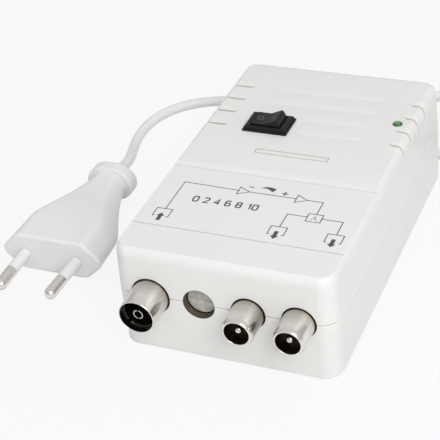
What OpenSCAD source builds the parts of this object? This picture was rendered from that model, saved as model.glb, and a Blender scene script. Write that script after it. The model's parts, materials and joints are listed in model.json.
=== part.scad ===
// Indoor aerial amplifier: a white two-part moulded housing with one coaxial input, two coaxial
// outputs and a gain adjuster in its front wall, a rocker switch and a pilot light on top, and a
// captive mains lead with a flat two-pin plug.
// Millimetres. +X to the right, +Y to the rear, +Z up. The origin is at the middle of the underside.

/* [Housing] */
// Width of the housing at the parting plane
body_w = 68; // [64:1:76]
// Length of the housing from the connector wall to the rear wall
body_l = 113; // [110:1:126]
// Height of the housing at the rear plateau
body_h = 35.5; // [35:0.5:40]
// Height of the parting plane, which is also the axis of the connectors
split_z = 19.5; // [18.5:0.5:21]
// Thickness of the moulded walls
wall = 2; // [1.6:0.1:2.4]
// Radius of the four upright corners
corner_r = 5.4; // [4:0.2:8]
// How far the round of the top's side edges reaches in over the top
side_edge_in = 2.2; // [1.6:0.1:3]
// How far the round of the top's front and rear edges reaches in over the top
front_edge_in = 3.5; // [2.5:0.1:4]
// How far these rounds reach down the walls
top_edge_down = 3.8; // [3:0.2:4.4]
// How far the upper walls lean in from the parting plane to the top
draft = 0.5; // [0:0.1:1]
// Small bevel along the parting line and round the underside
edge_bevel = 0.2; // [0.1:0.1:0.6]
// Gap between the two halves along the parting line
split_gap = 0.15; // [0.05:0.05:0.2]

/* [Top panel] */
// Distance from the rear wall to the step behind the label
rear_l = 67.4; // [63:0.1:70]
// Distance from the connector wall to the label's front edge
label_front = 14; // [11:0.1:18]
// Gap between the label's rear edge and the step
label_gap = 0.6; // [0.5:0.1:1.5]
// Depth of the label's panel below the rear plateau
label_drop = 0.6; // [0.4:0.05:0.8]
// Length of the slope that climbs from the label's panel
step_l = 2.2; // [1.4:0.1:3]
// Length of the gentle ramp between that slope and the plateau
ramp_l = 11.1; // [9:0.1:13]
// Fall of that ramp
ramp_drop = 0.1; // [0.05:0.05:0.25]
// Thickness of the label's film
label_t = 0.2; // [0.1:0.05:0.3]
// Width of the narrow lines sunk round the label's panel and the bar
line_w = 0.4; // [0.3:0.05:0.5]
// Depth of those lines
line_d = 0.4; // [0.2:0.05:0.5]
// Width of the short bar framed by such lines at the top of the ramp
bar_w = 23.7; // [18:0.1:28]
// Distance of the bar's middle to the right of the housing's middle
bar_x = 1.4; // [0:0.1:3]
// Distance between the lines in front of the bar and behind it
bar_l = 2.1; // [1.6:0.1:3]
// Depth of the narrow slit at each groove's foot, at the sides of the plateau
groove_d = 1; // [0.6:0.05:1]
// Width of that slit
groove_w = 1.25; // [0.8:0.05:1.3]
// Depth of the slope behind the slit where it starts
groove_side_d = 0.3; // [0.2:0.05:0.5]
// Depth of the grooves in the middle, which have the slope alone
groove_mid_d = 0.3; // [0.1:0.05:0.4]
// Length of the slope behind each groove
groove_slope = 2; // [1.6:0.1:2.4]
// Length of the gentle fall in front of the middle grooves
groove_fall = 4.6; // [4:0.1:5.4]
// Number of rows of grooves
groove_rows = 4; // [3:1:4]
// Distance from one row of grooves to the next
groove_pitch = 8.1; // [7.6:0.1:8.4]
// Distance from the rear wall to the last row of grooves
groove_rear = 18.2; // [16:0.1:20]
// How far the side grooves reach in over the plateau from the right wall
groove_in_right = 6.1; // [5.5:0.1:8]
// How far the side grooves reach in over the plateau from the left wall
groove_in_left = 9.5; // [7:0.1:11]
// Gap between the left side grooves and the middle ones
groove_gap_left = 6.2; // [5:0.1:7]
// Gap between the right side grooves and the middle ones
groove_gap_right = 7.3; // [6:0.1:8]
// How far the side grooves run down the side walls
groove_down = 5.6; // [5.2:0.2:8]

/* [Connectors] */
// Distance from one connector to the next
pitch = 15.2; // [15:0.1:15.6]
// How far the row's middle lies to the right of the housing's middle
row_shift = 0.5; // [0:0.1:1]
// Radius of the plug-in barrel of an output
male_r = 4.75; // [4.7:0.05:4.8]
// Radius of the bore inside an output's barrel
male_bore_r = 3.75; // [3.6:0.05:3.9]
// Reach of the outputs in front of the housing
male_reach = 9.3; // [8.5:0.1:10.5]
// Radius of the outputs' centre pins
pin_r = 1.2; // [1.1:0.05:1.25]
// Radius of the input's shell at the housing
female_base_r = 5.7; // [5.6:0.05:6.2]
// Radius of the input's shell at its mouth
female_mouth_r = 5.5; // [5.45:0.05:5.8]
// Reach of the input in front of the housing
female_reach = 10.2; // [9:0.1:11]
// Radius inside the input's sprung sleeve
sleeve_bore_r = 4.8; // [4.75:0.05:4.85]
// Gap round each connector in the wall
shell_gap = 0.4; // [0.2:0.05:0.5]
// Wall of the input's sprung sleeve
sleeve_t = 0.3; // [0.2:0.05:0.3]
// Number of slots that split the sleeve into springs
sleeve_slots = 4; // [2:1:6]
// Radius of the round hole in front of the gain adjuster
gain_hole_r = 4.9; // [4.8:0.1:5.4]
// Radius of the gain adjuster's disc
gain_knob_r = 4.4; // [3.8:0.1:4.5]
// Depth of the gain adjuster's face behind the front wall's outer face
gain_depth = 2.3; // [2.1:0.1:3.4]

/* [Switch] */
// Distance of the switch's middle to the left of the housing's middle
switch_left = 11.5; // [10.5:0.1:12.5]
// Distance of the switch's middle from the rear wall
switch_rear = 40.1; // [39:0.1:41]
// Width of the switch's bezel
bezel_w = 14.8; // [14.6:0.1:15.6]
// Length of the bezel from front to rear
bezel_l = 10.2; // [10:0.1:10.8]
// Height of the bezel above the plateau
bezel_h = 1.8; // [1.5:0.1:2.4]
// Radius of the rocker's ends about its pivot
rocker_r = 4.9; // [4.7:0.05:5.5]
// Tilt of the rocker either side of level, in degrees
rocker_tilt = 12; // [8:1:13]
// Depth of the switch's case below the plateau
switch_depth = 11.5; // [10:0.5:12]

/* [Pilot light] */
// Diameter of the light's lens
led_d = 3; // [2.8:0.1:3.4]
// Distance of the light from the right wall
led_right = 6.1; // [5.8:0.1:6.6]
// Distance of the light from the rear wall
led_rear = 30.1; // [29:0.1:31]
// Height of the lens above the plateau
led_proud = 0.7; // [0.5:0.1:1.4]

/* [Electronics] */
// Distance from the front wall's outer face to the screening can
can_setback = 4.5; // [4.3:0.1:4.8]
// Room between the screening can and the side walls
can_room = 2; // [1.5:0.1:2.5]
// Room for the screw pillars between the can and the power board
pillar_zone = 12; // [11:0.5:14]
// Height of the can's underside above the table
can_lift = 7; // [6:0.5:8]
// Room above the can's lid and above the transformer
headroom = 1.9; // [1.2:0.1:2.4]
// Thickness of the can's tinned sheet
can_t = 0.6; // [0.4:0.1:0.8]
// Thickness of the circuit boards
board_t = 1.6; // [1.2:0.2:1.8]
// Height of the amplifier board's top below the connector axis
board_below_axis = 4.9; // [4.6:0.1:5.6]
// Height of the power board's underside above the table
power_lift = 8; // [7:0.5:8.5]
// Room between the power board and the side walls
board_room = 3; // [2.5:0.1:4]
// Length of the power board
power_l = 48; // [47:0.5:48.5]
// Width of the transformer's core
core_w = 28; // [26:0.5:28.5]
// Thickness of the transformer's stack of plates
core_t = 14; // [12:0.5:15]
// Room between the power board and the rear wall
power_rear = 12.5; // [12:0.5:14]

/* [Mains lead] */
// Diameter of the round flex
cord_d = 3.6; // [3.4:0.1:3.8]
// Distance of the gland from the right wall
gland_right = 14; // [13:0.5:15]
// Height of the gland's middle above the table
gland_z = 11; // [10.5:0.5:11.5]
// Length of the tapered strain relief behind the housing
relief_l = 22; // [20:1:24]
// Radius of the strain relief where it leaves the housing
relief_r = 4.6; // [4:0.1:5]
// Radius of the innermost turn of the coil
coil_in_r = 14.4; // [14:0.1:16]
// Gap between neighbouring turns of the coil
coil_gap = 0.5; // [0.45:0.05:0.7]
// Turns of the coil in each of its two layers
coil_turns = 3.5; // [2.5:1:4.5]
// Thickness of the tie's band
tie_t = 0.5; // [0.4:0.1:0.8]
// Width of the tie's band
tie_w = 5; // [4:0.5:7]

/* [Plug] */
// Width of the plug's face
plug_w = 35.3; // [34.5:0.1:35.5]
// Thickness of the plug
plug_t = 13.7; // [13:0.1:14]
// Length of the plug's body in front of its collar
plug_l = 43; // [38:1:46]
// Width of the plug's neck
neck_w = 12.6; // [11:0.2:15]
// Width of the collar
collar_w = 17; // [15.5:0.5:19]
// Length of the collar along the lead
collar_l = 5; // [4:0.5:6]
// Radius of the plug's pins
prong_r = 2; // [1.9:0.05:2.05]
// Reach of the pins in front of the plug
prong_l = 19; // [18:0.5:19.5]
// Distance between the pins where they leave the plug
prong_gap = 18.6; // [18:0.1:19.2]
// Lean of each pin towards the other, in degrees
prong_lean = 1.6; // [0:0.2:2]
// Length of the white sleeve on each pin
prong_sleeve = 10; // [9:0.5:11]

/* [Hidden] */
$fn = 48;
eps = 0.01;

// Clearances: of fixed pieces, of a pivot in its bearing, and of free motion
slip = 0.1;
pivot_fit = 0.06;
run = 0.3;

// Faces and middles that several pieces share
front_y = -body_l / 2;
rear_y = body_l / 2;
step_y = rear_y - rear_l;
ramp_end_y = step_y + step_l + ramp_l;
inner_top = body_h - wall;
board_top = split_z - board_below_axis;
power_top = power_lift + board_t;
power_rear_y = rear_y - power_rear;
power_front_y = power_rear_y - power_l;
power_w = body_w - 2 * (wall + board_room);
can_face_y = front_y + can_setback;
can_rear_y = power_front_y - pillar_zone;
can_l = can_rear_y - can_face_y;
can_w = body_w - 2 * (wall + can_room);
can_h = inner_top - headroom - can_t - can_lift;
core_h = inner_top - headroom - power_top;

// Grooves: lean of the slit's walls, fade at the ends, and clear room round the bezel
groove_lean = 0.04;
groove_fade = 2;
groove_clear = 1;
groove_foot = groove_w / 2 + groove_lean;
// The fall in front of a groove stops just short of the slope of the row before it
fall_l = min(groove_fall, groove_pitch - groove_slope - 2 * groove_foot - 0.1);
// How far the form that leaves the grooves stands off the housing elsewhere
groove_lift = 0.05;
groove_low_z = body_h - groove_down;
groove_ys = [for (i = [groove_rows - 1 : -1 : 0]) rear_y - groove_rear - i * groove_pitch];

// Places along the connector wall, from left to right
input_x = row_shift - 1.5 * pitch;
gain_x = row_shift - 0.5 * pitch;
left_x = row_shift + 0.5 * pitch;
right_x = row_shift + 1.5 * pitch;

// Connector details, measured outwards from the can's face
flange_t = 1.2;
flange_w = 1.1;
sleeve_seat_r = sleeve_bore_r + sleeve_t + slip;
contact_t = 0.35;
contact_r = pin_r + contact_t;
pin_back = 3.6;
male_base_r = male_r + 0.12;
male_len = can_setback + male_reach;
male_nose_l = 1.3;
female_len = can_setback + female_reach;
spigot_r = male_base_r - 0.55;
spigot_l = can_t + 0.6;
seat_z = 0.3;
throat_r = 3;
insulator_t = 3;
rim = 0.3;
tail_y = can_face_y + 3;
tail_r = 0.6;

// Gain adjuster, measured outwards from the can's face
knob_face = can_setback - gain_depth;
knob_back = -1;
hub_back = -2.2;
pot_front = -2.4;
pot_l = 6.5;
pot_shaft_r = 1.5;

// Switch
switch_x = -switch_left;
switch_y = rear_y - switch_rear;
pivot_z = body_h + bezel_h - 1;
well_w = 2 * (rocker_r + run);
rocker_l = 7.1;
well_l = rocker_l + 2 * run;
case_w = well_w + 1.3;
case_l = well_l + 1.1;
trunnion_r = 0.9;
blade_x = 3.5;
blade_t = 0.8;
blade_l = 6;
blade_top_z = body_h - switch_depth;

// Pilot light
led_x = body_w / 2 - led_right;
led_y = rear_y - led_rear;
led_foot_z = inner_top - 2.2;

// Gland's flange inside the rear wall
gland_x = body_w / 2 - gland_right;
gland_flange_t = 2.4;
gland_flange_r = relief_r + 1.6;
gland_inner_y = rear_y - wall - gland_flange_t;

// Power board and what stands on it
post_r = 2.5;
post_in = 4;
post_screw_r = 1.1;
post_ys = [power_front_y + post_in, power_rear_y - post_in];

// Posts under the screening can
can_post_in = 6;
can_post_ys = [can_face_y + can_post_in, can_rear_y - can_post_in];

// Screw pillars that hold the halves together
pillar_r = 3.6;
pillar_x = body_w / 2 - 7.5;
pillar_ys = [(can_rear_y + power_front_y) / 2, (power_rear_y + gland_inner_y) / 2];
screw_r = 1.45;
screw_head_r = 2.7;
screw_head_t = 2;
screw_recess = 1.2;
screw_l = split_z + 5;

// Transformer and what stands beside it
core_x = 11;
core_rear = 29.5;
core_y = rear_y - core_rear;
core_limb = 7;
core_yoke = 4.5;
window_w = (core_w - 2 * core_yoke - core_limb) / 2;
winding_reach = 5;
diode_x = -8.5;
diode_step = 4;
diode_l = 4.4;
capacitor_x = -20;
capacitor_y = core_y + core_limb - 1;
capacitor_r = 5;
capacitor_h = 16;
regulator_x = -24;
regulator_w = 10;
fuse_r = 2.6;
fuse_half = 10;
fuse_y = power_front_y + 7;
fuse_z = power_top + 3.4;

// Gland and lead
gland_y = rear_y + relief_l;
cord_r = cord_d / 2;
turn_step = cord_d + coil_gap;
coil_start = 150;
coil_total = 2 * coil_turns - (270 - coil_start) / 360;
coil_out_r = coil_in_r + turn_step * coil_total / 2;
coil_lift = tie_t + run;
low_z = coil_lift + cord_r;
high_z = low_z + turn_step;
coil_mid = [57, 91];
coil_rings = 24;
coil_sides = 6;
cord_sides = 8;

// Wires inside the housing, each a hand-chosen route between the faces that it joins
wire_r = 0.7;
wire_sides = 6;
wire_touch = slip;
wire_core_x = 1.6;
blade_side = blade_x + blade_t / 2 + wire_r + wire_touch;
blade_mid_z = blade_top_z - 0.6 * blade_l;
wire_y = gland_inner_y - 2 * wire_touch;
winding_front_y = core_y - core_t / 2 - winding_reach;
switch_wire = [
  [gland_x - wire_core_x, wire_y, gland_z], [gland_x - wire_core_x, wire_y - 1, gland_z],
  [gland_x - 3, wire_y - 3, gland_z + 3], [8, wire_y - 4, 18],
  [-6, wire_y - 6.4, 20], [-12.6, wire_y - 12, 19], [-12.6, wire_y - 22, 18], [-15, switch_y + 7.6, 18],
  [switch_x - blade_side, switch_y + 3.6, blade_mid_z - 1], [switch_x - blade_side, switch_y, blade_mid_z],
  [switch_x - blade_side, switch_y - 2, blade_mid_z + 0.4]
];
fuse_wire = [
  [gland_x + wire_core_x, wire_y, gland_z], [gland_x + wire_core_x, wire_y - 1, gland_z],
  [gland_x + wire_core_x, wire_y - 3.4, gland_z + 1.6],
  [gland_x + 1, wire_y - 7, 14], [gland_x + 4, wire_y - 9.4, 15], [led_x + 2, wire_y - 14, 15],
  [led_x + 2, fuse_y + 11, 14], [27, fuse_y + 3, fuse_z], [17, fuse_y, fuse_z],
  [fuse_half + 2 * wire_touch, fuse_y, fuse_z]
];
winding_wire = [
  [switch_x + blade_side, switch_y + 1, blade_mid_z + 0.6],
  [switch_x + blade_side, switch_y - 1.4, blade_mid_z - 1],
  [-4, switch_y - 4, 17], [1, switch_y - 5, 17], [core_x - 6, winding_front_y - 3, 19],
  [core_x - 5, winding_front_y - wire_r - wire_touch, power_top + core_h / 2]
];
can_wire_x = -14;
can_wire = [
  [can_wire_x, power_front_y + 2, power_top + wire_touch],
  [can_wire_x, power_front_y + 1.6, power_top + 2.4],
  [can_wire_x, power_front_y - 1, power_top + 5], [can_wire_x, can_rear_y + 5, power_top + 7],
  [can_wire_x, can_rear_y + 1.2, power_top + 8], [can_wire_x, can_rear_y, power_top + 8]
];

// Plug, lying on the table with its pins to the front
plug_x = -70.5;
plug_y = -32;
plug_z = plug_t / 2;
plug_end_y = plug_y + plug_l + collar_l;
root_l = 6;
prong_core_r = prong_r - 0.4;
prong_seat = 12;

// Hand-chosen route of the lead from the strain relief to the coil
gland_route = [
  [20, 81.5, 10.7], [20.4, 85, 9.8], [21.9, 88.6, 8.7],
  [24, 92.2, 7.7], [26.3, 96, 7], [28.4, 99.4, 6.7]
];
// Hand-chosen route of the lead from the coil to the plug
plug_route = [
  [43, 63.1, 2.1], [34, 63.1, 1.9], [25, 63.7, 1.8], [15, 65.3, 1.8], [5, 67.7, 1.8], [-5, 70.7, 1.8],
  [-15, 74, 1.8], [-25, 77.2, 1.8], [-35, 79.8, 1.8], [-45, 81.3, 1.8], [-54, 81, 1.8], [-62, 78.7, 1.8],
  [-69, 74.4, 1.8], [-74.2, 68.5, 1.8], [-77.2, 61.4, 1.8], [-78, 53.6, 1.9], [-77, 45.6, 2.3],
  [-74.6, 37.6, 3.4], [-71.9, 29.8, 5.2]
];

// Flat shapes and placements that several pieces use

// A rectangle with round corners, centred
module round_rect(w, l, r) {
  square([w - 2 * r, l], center = true);
  square([w, l - 2 * r], center = true);
  for (sx = [-1, 1], sy = [-1, 1])
    translate([sx * (w / 2 - r), sy * (l / 2 - r)])
      circle(r);
}

// Puts a revolved piece on the connector wall, pointing to the front
module on_front(x) {
  translate([x, can_face_y, split_z])
    rotate([90, 0, 0])
      children();
}

// The four corners of a rectangle about the housing's middle
module at_corners(w, l) {
  for (sx = [-1, 1], sy = [-1, 1])
    translate([sx * w / 2, sy * l / 2, 0])
      children();
}

// Points of a quarter round from the side to the top, as wide as it is high or squeezed to an ellipse
function quarter(cr, cz, r, steps = 6, high = undef) =
  let (h = is_undef(high) ? r : high)
  [for (i = [0 : steps]) [cr + r * cos(90 * i / steps), cz + h * sin(90 * i / steps)]];

// A solid skinned over rings with the same number of points, with a fan of triangles at each end
module loft(rings) {
  n = len(rings[0]);
  last = len(rings) - 1;
  skin = [for (i = [0 : last - 1], k = [0 : n - 1])
    let (a = i * n + k, b = i * n + (k + 1) % n)
    each [[a, b, b + n], [a, b + n, a + n]]];
  front = [for (k = [1 : n - 2]) [0, k + 1, k]];
  back = [for (k = [1 : n - 2]) [last * n, last * n + k, last * n + k + 1]];
  polyhedron([for (points = rings) each points], concat(front, skin, back), convexity = 6);
}

// A closed tube through a list of points, with rings square to the way it runs
function unit(v) = v / norm(v);
function heading(p, i) = unit(p[min(i + 1, len(p) - 1)] - p[max(i - 1, 0)]);
function across(t) = unit(cross(t, [0, 0, 1]));
function ring(c, t, r, n) =
  [for (k = [0 : n - 1])
    let (a = 360 * (k + 0.5) / n)
    c + r * (cos(a) * across(t) + sin(a) * cross(across(t), t))];

module tube(path, r, n, ends = []) {
  last = len(path) - 1;
  own_way = [for (i = [0 : last]) heading(path, i)];
  way = len(ends) == 2
    ? concat([ends[0]], [for (i = [1 : last - 1]) own_way[i]], [ends[1]])
    : own_way;
  points = concat([for (i = [0 : last]) each ring(path[i], way[i], r, n)], [path[0], path[last]]);
  sides = [for (i = [0 : last - 1], k = [0 : n - 1]) let (a = i * n + k, b = i * n + (k + 1) % n)
    each [[a, b, b + n], [a, b + n, a + n]]];
  caps = [for (k = [0 : n - 1]) let (b = (k + 1) % n)
    each [[(last + 1) * n, b, k], [(last + 1) * n + 1, last * n + k, last * n + b]]];
  polyhedron(points, concat(sides, caps), convexity = 6);
}

// Housing

// A level ring round a rectangle with round corners
function round_ring(w, l, r, z) =
  let (steps = 10)
  [for (c = [0 : 3], k = [0 : steps])
    let (
      a = 90 * (c + k / steps),
      sx = c == 0 || c == 3 ? 1 : -1,
      sy = c < 2 ? 1 : -1)
    [sx * (w / 2 - r) + r * cos(a), sy * (l / 2 - r) + r * sin(a), z]];

// The outer form of the upper half, or the inner one when it is shrunk by a negative amount
module cover_form(grow, floor_z) {
  steps = 8;
  side = max(side_edge_in + grow, edge_bevel);
  front = max(front_edge_in + grow, edge_bevel);
  down = max(top_edge_down + grow, edge_bevel);
  bevel = grow == 0 ? edge_bevel : 0;
  lean = grow - draft;
  edge = [for (i = [steps : -1 : 0])
    let (
      a = 90 * i / steps,
      in = 1 - cos(a),
      r = corner_r + lean - in * (side + front) / 2)
    round_ring(
      body_w + 2 * lean - 2 * in * side, body_l + 2 * lean - 2 * in * front, r,
      body_h + grow - down * (1 - sin(a)))];
  foot = [for (p = [[grow, bevel], [grow - bevel, 0]])
    round_ring(body_w + 2 * p[0], body_l + 2 * p[0], corner_r + p[0], floor_z + p[1])];
  loft(concat(edge, bevel > 0 ? foot : [foot[1]]));
}

// What lies above the label's panel, the lines sunk at its ends, and the slope and ramp behind it
module panel_cut() {
  floor_z = body_h - label_drop;
  label_front_y = front_y + label_front;
  label_rear_y = step_y - label_gap;
  translate([-body_w, 0, 0])
    rotate([90, 0, 90])
      linear_extrude(2 * body_w)
        polygon([
          [front_y - wall, floor_z],
          [label_front_y - line_w, floor_z], [label_front_y - line_w, floor_z - line_d],
          [label_front_y, floor_z - line_d], [label_front_y, floor_z],
          [label_rear_y, floor_z], [label_rear_y, floor_z - line_d],
          [label_rear_y + line_w, floor_z - line_d], [label_rear_y + line_w, floor_z],
          [step_y, floor_z], [step_y + step_l, body_h - ramp_drop], [ramp_end_y, body_h],
          [ramp_end_y, body_h + wall], [front_y - wall, body_h + wall]]);
}

// The lines sunk round the short bar
module bar_lines() {
  translate([bar_x, ramp_end_y - bar_l / 2, body_h])
    difference() {
      cube([bar_w + line_w, bar_l + line_w, 2 * line_d], center = true);
      cube([bar_w - line_w, bar_l - line_w, 3 * line_d], center = true);
    }
}

// One section across the plateau at a share of the grooves' depth, from the right wall over to the left one
function wall_x(z) = body_w / 2 - draft * (z - split_z) / (body_h - top_edge_down - split_z);
function sunk(depth, share) = share * (depth + groove_lift) - groove_lift;
function groove_edge(share) =
  let (
    steps = 8,
    cx = body_w / 2 - draft - side_edge_in,
    cz = body_h - top_edge_down)
  concat(
    [[wall_x(groove_low_z) + groove_lift, groove_low_z]],
    [for (i = [0 : steps])
      let (
        a = 90 * i / steps,
        reach = min(1, (cz + top_edge_down * sin(a) - groove_low_z) / top_edge_down),
        t = sunk(groove_d * reach, share))
      [cx + (side_edge_in - t) * cos(a), cz + (top_edge_down - t) * sin(a)]]);
function mirrored(points) = [for (i = [len(points) - 1 : -1 : 0]) [-points[i][0], points[i][1]]];
function groove_section(y, side_share, mid_share, beside_bezel) =
  let (
    edge = groove_edge(side_share),
    top = body_h + groove_lift,
    side_z = body_h - sunk(groove_d, side_share),
    mid_z = body_h - sunk(groove_mid_d, mid_share),
    right_end = body_w / 2 - groove_in_right,
    left_end = groove_in_left - body_w / 2,
    mid_right = right_end - groove_gap_right,
    mid_left = beside_bezel ? switch_x + bezel_w / 2 + groove_clear : left_end + groove_gap_left,
    flat = [
      [right_end + groove_fade, side_z], [right_end, top],
      [mid_right, top], [mid_right - groove_fade, mid_z], [mid_left + groove_fade, mid_z], [mid_left, top],
      [left_end, top], [left_end - groove_fade, side_z]])
  [for (p = concat(edge, flat, mirrored(edge))) [p[0], y, p[1]]];

// What the grooves leave of the housing's form. Each row's sections have a place, and the shares of the
// side grooves' depth and of the middle ones'.
groove_steps = [
  [-groove_foot - fall_l, 0, 0], [-groove_foot, 0, 1], [-groove_w / 2, 1, 1], [groove_w / 2, 1, 1],
  [groove_foot, groove_side_d / groove_d, 1], [groove_foot + groove_slope, 0, 0]
];
module groove_core() {
  loft([for (y = groove_ys, s = groove_steps)
    groove_section(y + s[0], s[1], s[2], abs(y - switch_y) < bezel_l / 2 + groove_clear)]);
}

module groove_cut() {
  front = groove_ys[0] - groove_foot - fall_l + eps;
  rear = groove_ys[groove_rows - 1] + groove_foot + groove_slope - eps;
  difference() {
    translate([-body_w / 2 - wall, front, groove_low_z + eps])
      cube([body_w + 2 * wall, rear - front, groove_down + wall]);
    groove_core();
  }
}

// Holes in the connector wall, half in each half of the housing
module wall_holes() {
  for (hole = [[input_x, female_base_r], [left_x, male_base_r], [right_x, male_base_r]])
    on_front(hole[0])
      translate([0, 0, flange_t])
        cylinder(r = hole[1] + shell_gap, h = can_setback);
  on_front(gain_x) {
    translate([0, 0, flange_t])
      cylinder(r = gain_hole_r, h = can_setback);
    cylinder(r = gain_hole_r + 1.4, h = can_setback - 0.4 * wall);
  }
}

// Places of the pillars and posts
module at_pillars() {
  for (sx = [-1, 1], y = pillar_ys)
    translate([sx * pillar_x, y, 0])
      children();
}

module at_can_posts() {
  for (sx = [-1, 1], y = can_post_ys)
    translate([sx * (can_w / 2 - can_post_in), y, 0])
      children();
}

module at_power_posts() {
  for (sx = [-1, 1], y = post_ys)
    translate([sx * (power_w / 2 - post_in), y, 0])
      children();
}

module top_cover() {
  color("whitesmoke") {
    difference() {
      cover_form(0, split_z + split_gap);
      panel_cut();
      bar_lines();
      groove_cut();
      cover_form(-wall, split_z - wall);
      wall_holes();
      translate([switch_x, switch_y, inner_top - eps])
        linear_extrude(2 * wall)
          square([case_w + 2 * slip, case_l + 2 * slip], center = true);
      translate([led_x, led_y, inner_top - eps])
        cylinder(r = led_d / 2 + slip, h = 2 * wall);
    }
    at_pillars()
      difference() {
        translate([0, 0, split_z + split_gap])
          cylinder(r = pillar_r, h = inner_top - split_z - split_gap + 0.3 * wall);
        translate([0, 0, split_z])
          cylinder(r = screw_r + slip / 2, h = 8);
      }
  }
}

module base_shell() {
  tongue_l = body_l - 26;
  tongue_t = 0.8;
  tongue_gap = slip + draft / 4;
  tongue_x = body_w / 2 - wall - tongue_gap - tongue_t / 2;
  tongue_y = 6;
  color("whitesmoke")
    difference() {
      union() {
        difference() {
          hull()
            at_corners(body_w - 2 * corner_r, body_l - 2 * corner_r)
              rotate_extrude($fn = 40)
                polygon([
                  [0, 0], [corner_r - 2 * edge_bevel, 0], [corner_r, 2 * edge_bevel],
                  [corner_r, split_z - edge_bevel], [corner_r - edge_bevel, split_z], [0, split_z]]);
          translate([0, 0, wall])
            linear_extrude(split_z)
              round_rect(body_w - 2 * wall, body_l - 2 * wall, corner_r - wall);
        }
        for (sx = [-1, 1])
          translate([sx * tongue_x, tongue_y, split_z - 0.6])
            cube([tongue_t, tongue_l, 3.6], center = true);
        for (sx = [-1, 1])
          translate([sx * (tongue_x + tongue_gap), tongue_y, split_z - 1.6])
            cube([tongue_t + 2 * tongue_gap, tongue_l, 2.4], center = true);
        at_pillars()
          cylinder(r = pillar_r, h = split_z);
        at_can_posts()
          translate([0, 0, wall / 2])
            cylinder(r = post_r, h = can_lift - wall / 2);
        at_power_posts()
          translate([0, 0, wall / 2])
            cylinder(r = post_r, h = power_lift - wall / 2);
      }
      wall_holes();
      translate([gland_x, rear_y - wall - 1, gland_z])
        rotate([-90, 0, 0])
          cylinder(r = relief_r + slip, h = wall + 2);
      at_pillars() {
        translate([0, 0, -1])
          cylinder(r = screw_r + slip, h = split_z + 2);
        translate([0, 0, -1])
          cylinder(r = screw_head_r + run, h = 1 + screw_recess + screw_head_t);
      }
      at_power_posts()
        translate([0, 0, wall])
          cylinder(r = post_screw_r + slip / 2, h = power_lift);
    }
}

module label() {
  edge_gap = 0.2;
  cut_share = 1 - label_drop / top_edge_down;
  round_left = side_edge_in * (1 - sqrt(1 - cut_share * cut_share));
  flat_w = body_w - 2 * (draft + round_left + edge_gap);
  label_l = step_y - label_gap - front_y - label_front;
  color("white")
    translate([0, step_y - label_gap - label_l / 2, body_h - label_drop])
      linear_extrude(label_t)
        round_rect(flat_w, label_l, 0.6);
}

module housing_screws() {
  color("silver")
    at_pillars()
      translate([0, 0, screw_recess])
        difference() {
          union() {
            cylinder(r = screw_head_r, h = screw_head_t);
            cylinder(r = screw_r, h = screw_l);
          }
          for (a = [0, 90])
            rotate([0, 0, a])
              cube([3, 0.7, 1.8], center = true);
        }
}

// Switch and pilot light

// The bezel seen from the end: a thin flange, and a bevelled frame that stands on it
module bezel_outline(w) {
  half = w / 2;
  flange = 0.7;
  inset = 0.45;
  bevel = 0.5;
  polygon([
    [-half, 0], [half, 0], [half, flange - 0.2], [half - 0.2, flange], [half - inset, flange],
    [half - inset, bezel_h - bevel], [half - inset - bevel, bezel_h],
    [inset + bevel - half, bezel_h], [inset - half, bezel_h - bevel],
    [inset - half, flange], [0.2 - half, flange], [-half, flange - 0.2]]);
}

module switch_body() {
  color("#1b1b1d")
    translate([switch_x, switch_y, body_h])
      difference() {
        union() {
          translate([0, 0, -switch_depth])
            linear_extrude(switch_depth + bezel_h / 2)
              square([case_w, case_l], center = true);
          intersection() {
            translate([0, 0, bezel_h / 2])
              cube([bezel_w, bezel_l, bezel_h], center = true);
            rotate([90, 0, 0])
              linear_extrude(bezel_l, center = true)
                bezel_outline(bezel_w);
            rotate([90, 0, 90])
              linear_extrude(bezel_w, center = true)
                bezel_outline(bezel_l);
          }
        }
        translate([0, 0, 1.4 - switch_depth])
          linear_extrude(switch_depth + bezel_h)
            square([well_w, well_l], center = true);
        translate([0, 0, pivot_z - body_h])
          rotate([90, 0, 0])
            cylinder(r = trunnion_r + pivot_fit, h = well_l + 0.8, center = true);
      }
}

module switch_rocker() {
  valley = 1.6;
  peak_x = rocker_r - 0.7;
  peak_z = sqrt(rocker_r * rocker_r - peak_x * peak_x);
  edge_x = rocker_r + run;
  edge_z = peak_z + 0.23;
  skirt_z = 1.6;
  foot_x = 3;
  foot_z = 4.4;
  color("#161618")
    translate([switch_x, switch_y, pivot_z])
      rotate([0, -rocker_tilt, 0])
        rotate([90, 0, 0]) {
          linear_extrude(rocker_l, center = true)
            intersection() {
              circle(rocker_r);
              polygon([
                [-foot_x, -foot_z], [foot_x, -foot_z], [edge_x, -skirt_z], [edge_x, edge_z],
                [peak_x, peak_z], [0, valley], [-peak_x, peak_z], [-edge_x, edge_z], [-edge_x, -skirt_z]]);
            }
          cylinder(r = trunnion_r, h = rocker_l + 1, center = true);
        }
}

module switch_terminals() {
  color("silver")
    for (sx = [-1, 1])
      translate([switch_x + sx * blade_x, switch_y, blade_top_z - blade_l / 2])
        cube([blade_t, 4.8, blade_l], center = true);
}

module power_led() {
  r = led_d / 2;
  dome_foot = body_h + 0.1;
  color("#2f6b3c")
    translate([led_x, led_y, 0])
      rotate_extrude()
        polygon(concat(
          [[0, led_foot_z], [r + 0.4, led_foot_z], [r + 0.4, led_foot_z + 1], [r, led_foot_z + 1]],
          quarter(0, dome_foot, r, 8, body_h + led_proud - dome_foot)));
}

module led_leads() {
  lead = 0.5;
  color("silver")
    for (dy = [-1.27, 1.27])
      translate([led_x, led_y + dy, (power_top + led_foot_z) / 2])
        cube([lead, lead, led_foot_z - power_top], center = true);
}

// Coaxial connectors

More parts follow.
